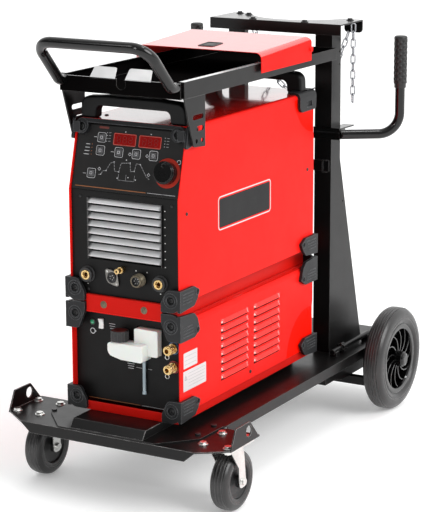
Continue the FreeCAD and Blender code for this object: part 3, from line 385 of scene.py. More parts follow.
def mixed(tree, factor, first, second):
    """Colour mix; an end is a colour or a socket."""
    made = node_of(tree, "ShaderNodeMix", data_type="RGBA")
    tree.links.new(factor, made.inputs["Factor"])
    for socket, value in ((made.inputs["A"], first), (made.inputs["B"], second)):
        if isinstance(value, bpy.types.NodeSocket):
            tree.links.new(value, socket)
        else:
            socket.default_value = (*value, 1)
    return made.outputs["Result"]


def edge_mask(tree, rounded_normal):
    """1 along sharp edges, 0 on open faces."""
    geometry = node_of(tree, "ShaderNodeNewGeometry")
    product = node_of(tree, "ShaderNodeVectorMath", operation="DOT_PRODUCT")
    tree.links.new(rounded_normal, product.inputs[0])
    tree.links.new(geometry.outputs["Normal"], product.inputs[1])
    return ranged(tree, product.outputs["Value"], 0.995, 0.86, 0, 1)


def surface(name, colour, dark, rough, metal=0, coat=0, coat_rough=0.06, edge=None, edge_width=1,
            tone_scale=9, grain=0.1, grain_scale=900, grain_stretch=(1, 1, 1), rough_spread=0.08,
            shine=0.5, subsurface=0, transmission=0, glow=None, glow_strength=0):
    """Painted, moulded or metal surface: uneven tone, fine grain, uneven gloss and lighter edges, partly
    wear and partly a painted highlight.
    """
    material, tree, shader = new_material(name)
    for key, value in (("Metallic", metal), ("Specular IOR Level", shine), ("Coat Weight", coat),
                       ("Coat Roughness", coat_rough), ("Subsurface Weight", subsurface),
                       ("Subsurface Scale", 0.01), ("Transmission Weight", transmission),
                       ("Emission Strength", glow_strength)):
        shader.inputs[key].default_value = value
    if glow:
        shader.inputs["Emission Color"].default_value = (*glow, 1)
    coordinates = node_of(tree, "ShaderNodeTexCoord").outputs["Object"]
    tone = ranged(tree, noise(tree, coordinates, tone_scale), 0.3, 0.7, 0, 1)
    result = mixed(tree, tone, dark, colour)
    soft = node_of(tree, "ShaderNodeBevel", {"Radius": edge_width * MM}, samples=4)
    # Lighter colour along sharp edges: partly wear, partly a painted highlight where a rounded edge would
    # catch the light.
    if edge:
        edge_patches = ranged(tree, noise(tree, coordinates, 60), 0.3, 0.62, 0.35, 1)
        edge_wear_and_highlight = node_of(tree, "ShaderNodeMath", operation="MULTIPLY")
        tree.links.new(edge_mask(tree, soft.outputs["Normal"]), edge_wear_and_highlight.inputs[0])
        tree.links.new(edge_patches, edge_wear_and_highlight.inputs[1])
        result = mixed(tree, edge_wear_and_highlight.outputs["Value"], result, edge)
    tree.links.new(result, shader.inputs["Base Color"])
    fine = noise(tree, coordinates, grain_scale, 2, grain_stretch)
    gloss = ranged(tree, noise(tree, coordinates, tone_scale * 4, 4), 0.3, 0.7, rough - rough_spread / 2,
                   rough + rough_spread / 2)
    tree.links.new(gloss, shader.inputs["Roughness"])
    bump = node_of(tree, "ShaderNodeBump", {"Strength": grain, "Distance": 0.0004})
    tree.links.new(fine, bump.inputs["Height"])
    tree.links.new(soft.outputs["Normal"], bump.inputs["Normal"])
    tree.links.new(bump.outputs["Normal"], shader.inputs["Normal"])
    return material


# The edge colours below are lighter than the faces: partly wear, partly painted highlights along the edges.
RED_COAT = dict(shine=0.06, grain=0.04, grain_scale=500)
BLACK_COAT = dict(coat=0.04, coat_rough=0.2, grain=0.16, grain_scale=700, shine=0.22)
RED = surface("red_powder_coat", (0.83, 0.012, 0.008), (0.76, 0.009, 0.006), 0.42,
    edge=(0.92, 0.05, 0.038), **RED_COAT)
# Base trays: a darker copy of the case red, painted shade under the power source and between the units.
RED_BASE_PAINTED_SHADE = surface("red_base_painted_shade", (0.6, 0.009, 0.005), (0.54, 0.007, 0.004), 0.42,
    edge=(0.85, 0.05, 0.038), **RED_COAT)
RED_GLOSS = surface("red_gloss_top", (0.8, 0.014, 0.009), (0.74, 0.01, 0.007), 0.12, coat=1,
    coat_rough=0.05, grain=0.03, edge=(0.92, 0.08, 0.06), grain_scale=300)
# Floor of the round pressings: a deeper red, painted shade in the recess.
RED_PRESSED_PAINTED_SHADE = surface("red_pressing_painted_shade", (0.9, 0.007, 0.001), (0.84, 0.005, 0.001), 0.4, shine=0.02,
    grain=0.04, edge=(0.95, 0.09, 0.07), grain_scale=500)
# Louvre hoods: a lighter copy of the case red, painted light on slopes that face up.
RED_HOOD_PAINTED_LIGHT = surface("red_louvre_hood_painted_light", (0.86, 0.018, 0.012), (0.8, 0.013, 0.009), 0.3, shine=0.25,
    grain=0.03, edge=(0.95, 0.14, 0.11), grain_scale=500)
# Pale domes at the louvres' front ends: a painted highlight.
LOUVRE_END_HIGHLIGHT = surface("louvre_end_painted_highlight", (0.92, 0.62, 0.58), (0.85, 0.4, 0.36), 0.25, metal=0.3, coat=0.6,
    tone_scale=200)
BLACK = surface("black_powder_coat", (0.0055, 0.005, 0.005), (0.0035, 0.0032, 0.0032), 0.32,
    edge=(0.17, 0.165, 0.16), **BLACK_COAT)
# Deck and plinth: a much lighter, wider edge colour, a painted highlight along their front folds.
DECK_BLACK_PAINTED_HIGHLIGHT = surface("deck_coat_painted_edge_highlight", (0.0055, 0.005, 0.005), (0.0035, 0.0032, 0.0032), 0.32,
    edge=(0.5, 0.49, 0.48), edge_width=1.8, **BLACK_COAT)
# Inside of the tray: a darker, dull copy of the black paint, painted shade.
TRAY_BLACK_PAINTED_SHADE = surface("tray_coat_painted_shade", (0.004, 0.0036, 0.0036), (0.0026, 0.0023, 0.0023), 0.6,
    edge=(0.15, 0.145, 0.14), grain=0.16, grain_scale=700, shine=0)
# Top faces of the yoke: a lighter black than its sides, painted light, besides its clear coat.
BLACK_TOP_PAINTED_LIGHT = surface("black_top_painted_light", (0.012, 0.011, 0.011), (0.008, 0.0075, 0.0075), 0.2, coat=0.35,
    coat_rough=0.1, edge=(0.16, 0.155, 0.15), grain=0.08, grain_scale=500)
PANEL_BLACK = surface("black_front_sheet", (0.0042, 0.004, 0.004), (0.003, 0.0029, 0.0029), 0.5,
    edge=(0.03, 0.03, 0.03), grain=0.15, grain_scale=1100, shine=0.18)
TUBE_BLACK = surface("gloss_black_tube", (0.004, 0.004, 0.004), (0.0025, 0.0025, 0.0025), 0.14, coat=0.45,
    grain=0.02, grain_scale=500, shine=0.25)
OVERLAY = surface("printed_overlay", (0.017, 0.0165, 0.0165), (0.013, 0.0125, 0.0125), 0.45, grain=0.06,
    grain_scale=1500, tone_scale=20, shine=0.18)
# Bumpers and mouldings: the lighter edge colour is a painted highlight along their rims, with some wear.
GREY_PLASTIC = surface("grey_moulding", (0.015, 0.0155, 0.017), (0.01, 0.0105, 0.0115), 0.4,
    edge=(0.17, 0.173, 0.18), edge_width=1.6, grain=0.3, grain_scale=1400, shine=0.22)
ARCH_PLASTIC = surface("arch_moulding", (0.005, 0.005, 0.0053), (0.003, 0.003, 0.0032), 0.38,
    edge=(0.05, 0.05, 0.052), grain=0.3, grain_scale=1400, shine=0.16)
BLACK_PLASTIC = surface("black_moulding", (0.013, 0.013, 0.0135), (0.008, 0.008, 0.0085), 0.42,
    edge=(0.09, 0.09, 0.094), grain=0.2, grain_scale=1200)
ZINC = surface("zinc_plate", (0.82, 0.82, 0.8), (0.62, 0.62, 0.6), 0.3, metal=1, edge=(0.9, 0.9, 0.88),
    grain=0.12, grain_scale=600, tone_scale=30)
CHAIN_ZINC = surface("chain_zinc", (0.56, 0.57, 0.6), (0.36, 0.37, 0.39), 0.26, metal=0.95,
    edge=(0.8, 0.81, 0.84), grain=0.15, grain_scale=700, tone_scale=60)
SILVER = surface("silver_louvre", (0.96, 0.96, 0.97), (0.86, 0.86, 0.87), 0.38, metal=0.55,
    edge=(0.9, 0.9, 0.9), grain=0.3, grain_scale=500, grain_stretch=(0.06, 1, 1), tone_scale=16)
DARK_STEEL = surface("dark_steel", (0.24, 0.23, 0.21), (0.13, 0.125, 0.12), 0.34, metal=0.9,
    edge=(0.5, 0.49, 0.46), grain=0.2, grain_scale=700, tone_scale=40)
# Top lips of the black tray: near-white, a painted reflection.
TRAY_LIP_PAINTED_REFLECTION = surface("tray_lip_painted_reflection", (0.93, 0.93, 0.93), (0.84, 0.84, 0.84), 0.2, metal=0.5, coat=0.6,
    edge=(0.97, 0.97, 0.97), grain=0.06, grain_scale=500, tone_scale=20)
BRASS = surface("turned_brass", (0.78, 0.56, 0.26), (0.6, 0.4, 0.15), 0.26, metal=1,
    edge=(0.9, 0.74, 0.45), grain=0.3, grain_stretch=(0.2, 3, 0.2), tone_scale=60)
BRONZE = surface("bronze_can", (0.2, 0.17, 0.11), (0.12, 0.1, 0.07), 0.38, metal=0.8, grain=0.2,
    edge=(0.4, 0.36, 0.26))
TYRE = surface("tyre_rubber", (0.02, 0.019, 0.019), (0.01, 0.0095, 0.01), 0.36, coat=0.15, coat_rough=0.22,
    edge=(0.16, 0.158, 0.158), edge_width=1.6, grain=0.3, grain_scale=700, tone_scale=14, rough_spread=0.14)
GRIP = surface("grip_rubber", (0.014, 0.014, 0.014), (0.007, 0.007, 0.007), 0.42, grain=0.3,
    edge=(0.06, 0.06, 0.06), grain_scale=1200)
TANK = surface("milky_polyethylene", (0.83, 0.84, 0.81), (0.76, 0.78, 0.74), 0.36, subsurface=0.25,
    grain=0.08, grain_scale=300)
TUBE_CLEAR = surface("level_tube_plastic", (0.42, 0.52, 0.57), (0.32, 0.42, 0.47), 0.15, transmission=0.25,
    coat=0.4, grain=0.04, tone_scale=40)
WHITE_PLASTIC = surface("white_switch", (0.86, 0.86, 0.84), (0.76, 0.76, 0.74), 0.3, grain=0.05,
    grain_scale=800, edge=(0.92, 0.92, 0.9))
GLOSS_BLACK = surface("gloss_black_knob", (0.01, 0.01, 0.01), (0.006, 0.006, 0.006), 0.12, coat=0.4,
    coat_rough=0.03, grain=0.02, rough_spread=0.04, shine=0.3)
KEY_GREY = surface("key_dome", (0.085, 0.085, 0.088), (0.055, 0.055, 0.058), 0.34,
    edge=(0.35, 0.35, 0.36), tone_scale=120)
PRINT_PALE = surface("pale_print", (0.66, 0.66, 0.67), (0.48, 0.48, 0.5), 0.5, tone_scale=150)
PRINT_DIM = surface("dim_print", (0.3, 0.3, 0.31), (0.2, 0.2, 0.21), 0.5, tone_scale=150)
PRINT_ORANGE = surface("orange_print", (0.32, 0.11, 0.03), (0.24, 0.075, 0.02), 0.45, tone_scale=60)
RING_RED = surface("knob_ring", (0.36, 0.02, 0.008), (0.28, 0.015, 0.006), 0.5, tone_scale=80, shine=0.15)
# Display glass: a faint red glow painted on, though the display is unlit.
SCREEN_RED_PAINTED_GLOW = surface("red_display_painted_glow", (0.22, 0.003, 0.002), (0.17, 0.002, 0.0015), 0.2, grain=0.02,
    glow=(0.9, 0.01, 0.005), glow_strength=0.03, tone_scale=70)
SCREEN_FRAME = surface("display_border", (0.5, 0.07, 0.05), (0.4, 0.05, 0.035), 0.4, grain=0.05,
    tone_scale=90)
SCREEN_DIGIT = surface("unlit_segment", (0.13, 0.003, 0.002), (0.1, 0.002, 0.0015), 0.3, grain=0.02,
    tone_scale=70)
TAG_RED = surface("dark_red_print", (0.13, 0.018, 0.01), (0.09, 0.012, 0.007), 0.5, grain=0.05,
    tone_scale=200)
LAMP_GREEN = surface("green_lens", (0.01, 0.26, 0.11), (0.005, 0.16, 0.07), 0.12, coat=1, grain=0.02,
    glow=(0.01, 0.4, 0.18), glow_strength=0.15, tone_scale=200)
BLUE_RING = surface("blue_ring", (0.06, 0.16, 0.32), (0.03, 0.09, 0.2), 0.35, tone_scale=90)
DARK_RED_RING = surface("red_ring", (0.3, 0.015, 0.01), (0.18, 0.008, 0.006), 0.35, tone_scale=90)
CAP_RED = surface("cap_red", (0.07, 0.008, 0.006), (0.04, 0.005, 0.004), 0.35, tone_scale=90)
LABEL = surface("paper_label", (0.66, 0.62, 0.62), (0.58, 0.54, 0.54), 0.5, grain=0.06)
PLATE_DARK = surface("name_plate", (0.016, 0.016, 0.0165), (0.011, 0.011, 0.0115), 0.5, grain=0.08,
    shine=0.15)
ALUMINIUM = surface("mill_aluminium", (0.7, 0.7, 0.71), (0.55, 0.55, 0.56), 0.4, metal=1, grain=0.2,
    grain_stretch=(0.1, 1, 1), tone_scale=25)
CAST_IRON = surface("cast_iron", (0.16, 0.16, 0.165), (0.1, 0.1, 0.105), 0.6, metal=0.6, grain=0.6,
    grain_scale=400)


# ---- CAD nodes: finish
FINISH = {
    "red_paint": RED, "black_paint": BLACK, "black_panel": PANEL_BLACK, "silver_grille": SILVER,
    "overlay": OVERLAY, "grey_moulding": GREY_PLASTIC, "zinc": ZINC, "black_plastic": BLACK_PLASTIC,
    "knob": GLOSS_BLACK, "button": KEY_GREY, "brass": BRASS, "tyre_rubber": TYRE, "grip_rubber": GRIP,
    "tank_plastic": TANK, "rocker_white": WHITE_PLASTIC, "bare_aluminium": ALUMINIUM, "pump_iron": CAST_IRON,
}
OWN_FINISH = {
    "level_tube": TUBE_CLEAR, "tool_tray": TRAY_BLACK_PAINTED_SHADE, "plinth": DECK_BLACK_PAINTED_HIGHLIGHT, "front_plate": DECK_BLACK_PAINTED_HIGHLIGHT,
    "reservoir_cap": BLACK_PLASTIC, "tray_handle": TUBE_BLACK, "side_handles": TUBE_BLACK,
    "arch_handles": ARCH_PLASTIC, "bottle_chain": CHAIN_ZINC, "rear_rim_left": TUBE_BLACK,
    "rear_rim_right": TUBE_BLACK,
}


def finish_of(node):
    """The material of a node: its own, or its slot's."""
    return OWN_FINISH.get(node) or FINISH[SLOT_OF[node]]


def dress_cad_nodes():
    """Gives every CAD node its finish."""
    for node, thing in frame["nodes"].items():
        if not thing.material_slots:
            thing.data.materials.append(finish_of(node))
        for entry in thing.material_slots:
            entry.material = finish_of(node)


# edge rounding in millimetres, and the number of steps across it
EDGE_ROUNDING = {
    "front_plate": (0.5, 2), "platform": (0.7, 2), "plinth": (1.2, 2), "rear_columns": (0.8, 2),
    "axle_carrier": (0.8, 2), "tray_brackets": (0.5, 2), "source_bumpers": (1.4, 3),
    "cooler_bumpers": (1.4, 3), "top_mouldings": (1.6, 3), "arch_handles": (5, 4), "reservoir": (4.5, 5),
    "cooler_rocker": (0.8, 2), "control_knob": (1.6, 4), "deck_clamp": (0.8, 2),
    "caster_fork_left": (0.4, 2), "caster_fork_right": (0.4, 2), "caster_plates": (0.5, 2),
    "rear_rim_left": (0.5, 2), "rear_rim_right": (0.5, 2), "mains_switch": (1.2, 3),
    "reservoir_cap": (0.5, 2), "gas_outlet": (0.4, 2), "coolant_couplings": (0.5, 2),
    "front_sockets": (0.4, 2),
}


# places in millimetres that tell the faces of a node apart
LID_LEVEL, YOKE_LEVEL, TRAY_LIP_LEVEL = 830, 870, 828.5
YOKE_BOLT_LEVEL, BASE_LEVEL = 860, 367
TRAY_WALL, COLUMN_REACH, BASE_REACH = 136.2, 180, 112  # how far out from the middle
PRESSING_DEPTHS = (0.9, 1.4)
LOOKS_UP, ROOF_RISE = 0.4, 0.85  # least rise of a face's normal
BASE_RECESS = 16
GRILLE_FADE = (77, 84)


def middle_of(face):
    """A face's middle in millimetres."""
    return face.calc_center_median() / MM


def on_top(level):
    """Marks faces that look up and lie above a level."""
    return lambda face: int(face.normal.z > LOOKS_UP and middle_of(face).z > level)


def tray_part(face):
    """1 for the tray's lips, painted bright as a reflection, 2 for its outer walls and 0 for the rest,
    painted darker as shade.
    """
    middle = middle_of(face)
    if face.normal.z > LOOKS_UP and middle.z > TRAY_LIP_LEVEL:
        return 1
    return 2 if abs(middle.x) > TRAY_WALL and face.normal.x * middle.x > 0 else 0


def roof_or_pressing(face):
    """0 for a case's walls, 1 for its roof and 2 for the floor of a round pressing, which gets a deeper red
    as painted shade.
    """
    if face.normal.z > ROOF_RISE:
        return 1
    middle = middle_of(face)
    sunk = PRESSING_DEPTHS[0] < CASE_SIDE - abs(middle.x) < PRESSING_DEPTHS[1]
    return 2 if sunk and abs(face.normal.x) > 0.99 and face.normal.x * middle.x > 0 else 0


def yoke_or_middle_bolt(face):
    """1 for the black bolts of the yoke and between the columns, 0 for the zinc ones."""
    return int(middle_of(face).z > YOKE_BOLT_LEVEL or abs(middle_of(face).x) < COLUMN_REACH)


def mark_faces():
    """Gloss on faces that look up; painted light on the yoke's top and the tray's lips, painted shade inside
    the tray and in the pressings.
    """
    for node in ("source_shell", "cooler_shell"):
        softened(node, 0.25, [RED, RED_GLOSS, RED_PRESSED_PAINTED_SHADE], 1, 60, roof_or_pressing)
    softened("tray_lid", 0.5, [RED, RED_GLOSS], mark=on_top(LID_LEVEL))
    # The tray's lips get a painted reflection and its inside a painted shade.
    softened("tool_tray", 0.5, [finish_of("tool_tray"), TRAY_LIP_PAINTED_REFLECTION, BLACK], mark=tray_part)
    softened("cart_bolts", 0.35, [ZINC, BLACK_PLASTIC], mark=yoke_or_middle_bolt)
    softened("top_plate", 0.7, [BLACK, BLACK_TOP_PAINTED_LIGHT], mark=on_top(YOKE_LEVEL))


def recessed_base():
    """The base trays, in a darker red painted as shade; the upper one's walls stand back under the power
    source.
    """
    made = softened("unit_bases", 0.6, RED_BASE_PAINTED_SHADE)
    for vertex in made.data.vertices:
        if vertex.co.z > BASE_LEVEL * MM and abs(vertex.co.x) > BASE_REACH * MM:
            vertex.co.x -= copysign(BASE_RECESS * MM, vertex.co.x)


def fade_ends(material, full, gone):
    """Darkens a material towards both ends across the machine, in millimetres from its middle."""
    tree = material.node_tree
    shader = tree.nodes["Principled BSDF"]
    colour = shader.inputs["Base Color"].links[0].from_socket
    place = node_of(tree, "ShaderNodeSeparateXYZ")
    tree.links.new(node_of(tree, "ShaderNodeTexCoord").outputs["Object"], place.inputs["Vector"])
    reach = node_of(tree, "ShaderNodeMath", operation="ABSOLUTE")
    tree.links.new(place.outputs["X"], reach.inputs[0])
    share = ranged(tree, reach.outputs["Value"], full * MM, gone * MM, 0, 1)
    tree.links.new(mixed(tree, share, colour, (0.006, 0.006, 0.006)), shader.inputs["Base Color"])


def round_edges():
    """Rounded copies of the sheet and moulded nodes, with the finishes that belong to their faces."""
    for node, (width, steps) in EDGE_ROUNDING.items():
        softened(node, width, finish_of(node), steps)
    for number in range(1, len(KEYS) + 1):
        softened(f"push_button_{number}", 0.5, KEY_GREY)
    mark_faces()
    recessed_base()
    fade_ends(SILVER, *GRILLE_FADE)


# ---- wheels
def grooved(radius, half_width, grooves, depth):
    """Crowned tread with evenly spaced grooves, as (radius, out) from the inner edge to the outer."""
    points = []
    pitch = 2 * half_width / grooves
    for k in range(grooves):
        start = -half_width + k * pitch
        for share, drop in ((0, depth), (0.14, 0), (0.86, 0), (1, depth)):
            out = start + share * pitch
            crown = 0.9 * (out / half_width) ** 2
            points.append((radius - drop - crown, out))
    return points


def wheel_place(node, side):
    """Face through a wheel's centre whose outward axis points away from the machine."""
    low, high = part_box(node)
    middle = (low + high) / 2
    return facing(middle, (0, side, 0), Z_AXIS), (high.z - low.z) / 2 / MM, (high.x - low.x) / 2 / MM


def rear_tyre(name, side):
    """Solid tyre with a grooved tread, round shoulders and raised rings on its walls."""
    place, radius, half = wheel_place(name, side)
    wall = [(80, half - 5), (83, half - 2), (88, half), (90.5, half), (91.3, half - 0.9), (93, half - 0.9),
            (93.8, half), (101, half - 0.2), (106, half - 2), (110, half - 5), (112.6, half - 8.4)]
    inner_wall = [(r, -out) for r, out in wall]
    tread = grooved(radius, half - 10.5, 4, 2.4)
    bm = bmesh.new()
    lathe(bm, place, (0, 0), inner_wall + tread + wall[::-1], 112, closed=True)
    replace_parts(piece(name + "_moulded", bm, TYRE, body_of_node(name)), name)


def caster_wheel(name, side):
    """Caster wheel: grooved grey tyre on a dark moulded centre."""
    place, radius, half = wheel_place(name, side)
    bore = [(4.06, half), (11, half), (12.2, half - 0.8), (13, half - 7), (17, half - 9), (31, half - 10),
            (34.5, half - 8), (36, half - 4.6), (38.5, half - 3.2), (43, half - 2.9), (44, half - 3.7),
            (45.5, half - 3.6), (46.5, half - 2.9), (51, half - 3.2), (56, half - 6), (58.4, half - 9)]
    inner = [(r, -out) for r, out in bore]
    tread = grooved(radius, half - 11.5, 3, 1.4)
    bm = bmesh.new()
    lathe(bm, place, (0, 0), inner + tread + bore[::-1], 80, closed=True, mark=lambda r: 1 if r < 36 else 0)
    made = piece(name + "_moulded", bm, [TYRE, BLACK_PLASTIC], body_of_node(name))
    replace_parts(made, name)


# ---- cart details
RIDGES, TWIST, HATCH_DEPTH = 7, 0.5, 1.1  # the grips' hatch: count, radians per millimetre, depth


def handle_grips():
    """Rubber grips with a cross-hatched sleeve, a smooth collar and a rounded top."""
    low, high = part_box("handle_grips")
    radius = 14.5
    centre_x = high.x - radius * MM
    centre_y = (low.y + high.y) / 2
    length = (high.z - low.z) / MM
    sleeve = (11, length - 6)
    around, rows = 64, 72
    bm = bmesh.new()
    for side in (-1, 1):
        origin = Vector((side * centre_x, centre_y, low.z))
        profile = [(10.7, 0), (12.2, 0.2), (12.6, 1), (12.6, 8), (13.9, 9.6)]
        for k in range(rows + 1):
            profile.append((radius - 0.2, sleeve[0] + (sleeve[1] - sleeve[0]) * k / rows))
        profile += [(14.2, length - 4), (13, length - 1.4), (10, length - 0.2), (0, length)]
        loops = []
        for r, z in profile:
            loop = []
            for s in range(around if r > 0 else 1):
                turn = tau * s / around
                hatch = 0
                if sleeve[0] <= z <= sleeve[1]:
                    waves = cos(RIDGES * turn + z * TWIST) + cos(RIDGES * turn - z * TWIST)
                    hatch = max(0, HATCH_DEPTH * waves)
                point = Vector((*polar((0, 0), r - hatch, turn), z))
                loop.append(bm.verts.new(origin + point * MM))
            loops.append(loop)
        for first, second in zip(loops, loops[1:]):
            bridge(bm, first, second)
    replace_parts(piece("grips_hatched", bm, GRIP, smooth=60), "handle_grips")


def bolt_washers():
    """Plain washers under the caster bolts and yoke bolts."""
    bm = bmesh.new()
    deck, yoke = level_face(145.8), level_face(876)
    caster_bolts = [(side * (215.3 + dx), 12.6 + dy) for side in (-1, 1) for dx in (-27.2, 27.2)
                    for dy in (-36.6, 36.6)]
    yoke_bolts = [(-136, 705), (-104, 687), (-57, 620), (68, 620), (139, 695)]
    black = bmesh.new()
    for made, place, centres, radius in ((bm, deck, caster_bolts, 10), (black, yoke, yoke_bolts, 8)):
        for centre in centres:
            lathe(made, place, centre, [(4.2, 0.05), (radius, 0.05), (radius, 1), (radius - 0.5, 1.5),
                                        (4.2, 1.5)], 28)
    piece("yoke_washers", black, BLACK_PLASTIC)
    piece("bolt_washers", bm, ZINC)


def lid_latch():
    """Black flush latch let into the top of the lid."""
    bm = bmesh.new()
    outline = rounded((-18, 18), (28, 73), 4)
    border(bm, LID_TOP, outline, 3, -0.4, 1.2)
    prism(bm, LID_TOP, inset(outline, 3), -0.4, 0.2)
    prism(bm, LID_TOP, rounded((-11, 11), (36, 60), 3), 0.2, 1, 0.4)
    piece("lid_latch", bm, BLACK_PLASTIC, "lid")


# ---- control panel
WAVE = [(-62, 33), (-57, 34), (-53, 41), (-46, 42), (-38, 57), (-30, 60), (-27, 43), (-17, 42), (-14, 59),
        (6, 61), (9, 45), (17, 46), (20, 61), (29, 60), (45, 38), (53, 33)]


def display_windows():
    """Two red displays behind pale frames."""
    glass, trim = bmesh.new(), bmesh.new()
    for a in DISPLAYS:
        outer = rounded((a[0] - 1.6, a[1] + 1.6), (DISPLAY_UP[0] - 1.6, DISPLAY_UP[1] + 1.6), 2.6)
        border(trim, PANEL, outer, 1.5, 0, 0.9)
        prism(glass, PANEL, inset(outer, 1.5), 0, 0.45, 0.1)
    piece("display_windows", glass, SCREEN_RED_PAINTED_GLOW)
    piece("display_frames", trim, SCREEN_FRAME)


def segment_digits():
    """Unlit seven-segment digits that just show in the displays."""
    bm = bmesh.new()
    for a in DISPLAYS:
        for k in range(3):
            left = a[0] + 6.5 + 13 * k
            for up in (97.5, 104, 110.5):
                stroke(bm, PANEL, [(left + 1, up), (left + 6.4, up)], 1, 0.45, 0.5)
            for across in (left, left + 7.4):
                for up in (98.4, 104.9):
                    stroke(bm, PANEL, [(across, up), (across, up + 4.7)], 1, 0.45, 0.5)
    piece("display_digits", bm, SCREEN_DIGIT)


def key_outlines():
    """Pale outline round each key."""
    bm = bmesh.new()
    for x, up in KEYS:
        outer = rounded((x - 9.5, x + 9.5), (up - 9.5, up + 9.5), 3.4)
        border(bm, PANEL, outer, 0.9, 0, 0.25)
    piece("key_frames", bm, PRINT_PALE)


def key_marks():
    """The squares printed on the keys, one piece per key so that each moves with its key."""
    for number, (x, up) in enumerate(KEYS, 1):
        bm = bmesh.new()
        mark = rounded((x - 2.7, x + 2.7), (up - 2.7, up + 2.7), 0.9)
        border(bm, PANEL, mark, 0.8, 1.5, 1.75)
        piece(f"key_mark_{number}", bm, PRINT_PALE, f"key_{number}")


def dashed(bm, place, start, end, dash=4.2, gap=1.3):
    """Dashed line between two points."""
    start, end = Vector(start), Vector(end)
    count = max(1, round((end - start).length / (dash + gap)))
    step = (end - start) / count
    for k in range(count):
        stroke(bm, place, [start + step * k, start + step * (k + dash / (dash + gap))], 1.1)


def panel_print():
    """Weld-cycle curve, marks beside the keys and lamps, the dividing line and a small tag."""
    pale, dim, orange = bmesh.new(), bmesh.new(), bmesh.new()
    for start, end in zip(WAVE, WAVE[1:]):
        dashed(dim, PANEL, start, end)
    studs(pale, PANEL, WAVE[1:-1:2], 1.1, 0.3)
    for up in (98, 103.5, 109, 114.5):
        studs(pale, PANEL, [(-52.5, up), (77, up)], 0.8, 0.25)
        stroke(dim, PANEL, [(-49, up), (-44, up + 0.6)], 1.1)
        stroke(dim, PANEL, [(81, up), (86, up)], 1.2)
    for k, up in enumerate((89.5, 83, 76.5, 70)):
        stroke(pale, PANEL, [(-98 - k, up), (-89, up)], 1.2)
        studs(orange, PANEL, [(-84, up + 0.5)], 0.9, 0.25)
    for x, up in ((-78, 104.5), (-36.5, 79), (-94, 33)):
        stroke(pale, PANEL, [(x - 3.5, up), (x + 3, up)], 0.9)
    for x, up in ((3, 77.5), (41.5, 77.5), (-61.5, 44), (49.5, 42)):
        diamond = [(x - 3.6, up), (x, up - 3.6), (x + 3.6, up), (x, up + 3.6)]
        border(pale, PANEL, diamond, 0.8, 0, 0.15)
    studs(pale, PANEL, ((-12, 119), (45, 119), (-3, 66), (-19, 30), (22, 30), (5, 33)), 1.2, 0.2)
    stroke(dim, PANEL, [(-17, 26.5), (19, 26.5)], 0.7)
    for x in (-17, 0, 19):
        stroke(dim, PANEL, [(x, 26.5), (x, 38)], 0.7)
    ring = circle((112.6, 71.7), 4.4, 28)
    border(pale, PANEL, ring, 1, 0, 0.2)
    stroke(orange, PANEL, [(-112, 8), (47.6, 8)], 1.6, 0, 0.2)
    stroke(pale, PANEL, [(51, 8), (113, 8)], 0.7, 0, 0.2)
    tag = bmesh.new()
    prism(tag, PANEL, rounded((-72, -50), (121.5, 126), 1.5), 0, 0.2)
    piece("panel_tag", tag, TAG_RED)
    piece("panel_marks", pale, PRINT_PALE)
    piece("panel_curve", dim, PRINT_DIM)
    piece("panel_line", orange, PRINT_ORANGE)


def knob_ring():
    """Red disc printed round the knob."""
    turned("knob_disc", RING_RED, PANEL, KNOB_AT, [(4, 0), (28.5, 0), (28.5, 0.25), (28, 0.4), (4, 0.4)], 64)


# ---- power source front
def output_contacts():
    """Turned brass fronts of the two output sockets, and the black collar round each."""
    brass, collar = bmesh.new(), bmesh.new()
    for x in OUTPUT_X:
        centre = (x, SOCKET_Z)
        lathe(brass, LOWER_FRONT, centre, [(4.3, -4), (4.3, 6.5), (5.6, 9.2), (6.4, 10.6), (8.6, 10.8),
                                           (9.6, 10.2), (9.8, 9), (9.8, 8.6)], 48)
        key = rounded((x - 1.1, x + 1.1), (SOCKET_Z + 4.6, SOCKET_Z + 8.8), 0.8)
        prism(brass, LOWER_FRONT, key, 9, 11.2, 0.3)
        lathe(collar, LOWER_FRONT, centre, [(14, 0.05), (16.4, 0.1), (16.4, 1.6), (15.6, 2.4),
                                            (14.2, 2.6)], 48)
    piece("output_contacts", brass, BRASS)
    piece("output_collars", collar, BLACK_PLASTIC)


def trigger_socket():
    """Slanted steel flange with two screws, and contact pins in both control sockets."""
    plate, pins = bmesh.new(), bmesh.new()
    centre = (TRIGGER_X, SOCKET_Z)
    ends = [(TRIGGER_X - 10.5, SOCKET_Z + 11.5), (TRIGGER_X + 10.5, SOCKET_Z - 11.5)]
    points = circle(centre, 13.4, 40) + circle(ends[0], 4.6, 24) + circle(ends[1], 4.6, 24)
    outer = [points[k] for k in convex_hull_2d(points)]
    inner = []
    for a, b in outer:
        inner.append(polar(centre, 11.2, atan2(b - centre[1], a - centre[0])))
    band(plate, LOWER_FRONT, outer, inner, 2.4, 3.8)
    for end in ends:
        pan_screw(pins, LOWER_FRONT, end, 2.4, 3.8, 1.2)
    for point in circle(centre, 4.4, 5):
        prism(pins, LOWER_FRONT, circle(point, 0.9, 12), 1.9, 4.6, 0.3)
    for point in circle(REMOTE_CENTRE, 5.2, 6):
        prism(pins, LOWER_FRONT, circle(point, 0.9, 12), 13.8, 16.4, 0.3)
    piece("trigger_flange", plate, DARK_STEEL)
    piece("socket_pins", pins, ZINC)


def remote_socket():
    """Ribbed bronze coupling ring of the remote-control socket."""
    profile = [(11, 3.2), (13, 3.4), (13.2, 4.2)]
    for k in range(5):
        out = 5.2 + 2.4 * k
        profile += [(12.2, out), (12.9, out + 0.6), (12.9, out + 1.4), (12.2, out + 2)]
    profile += [(12, 18.6), (11.6, 19.8), (10.6, 20.2), (9, 20), (8.6, 19.2), (8.6, 14)]
    turned("remote_ring", BRONZE, LOWER_FRONT, REMOTE_CENTRE, profile, 48)


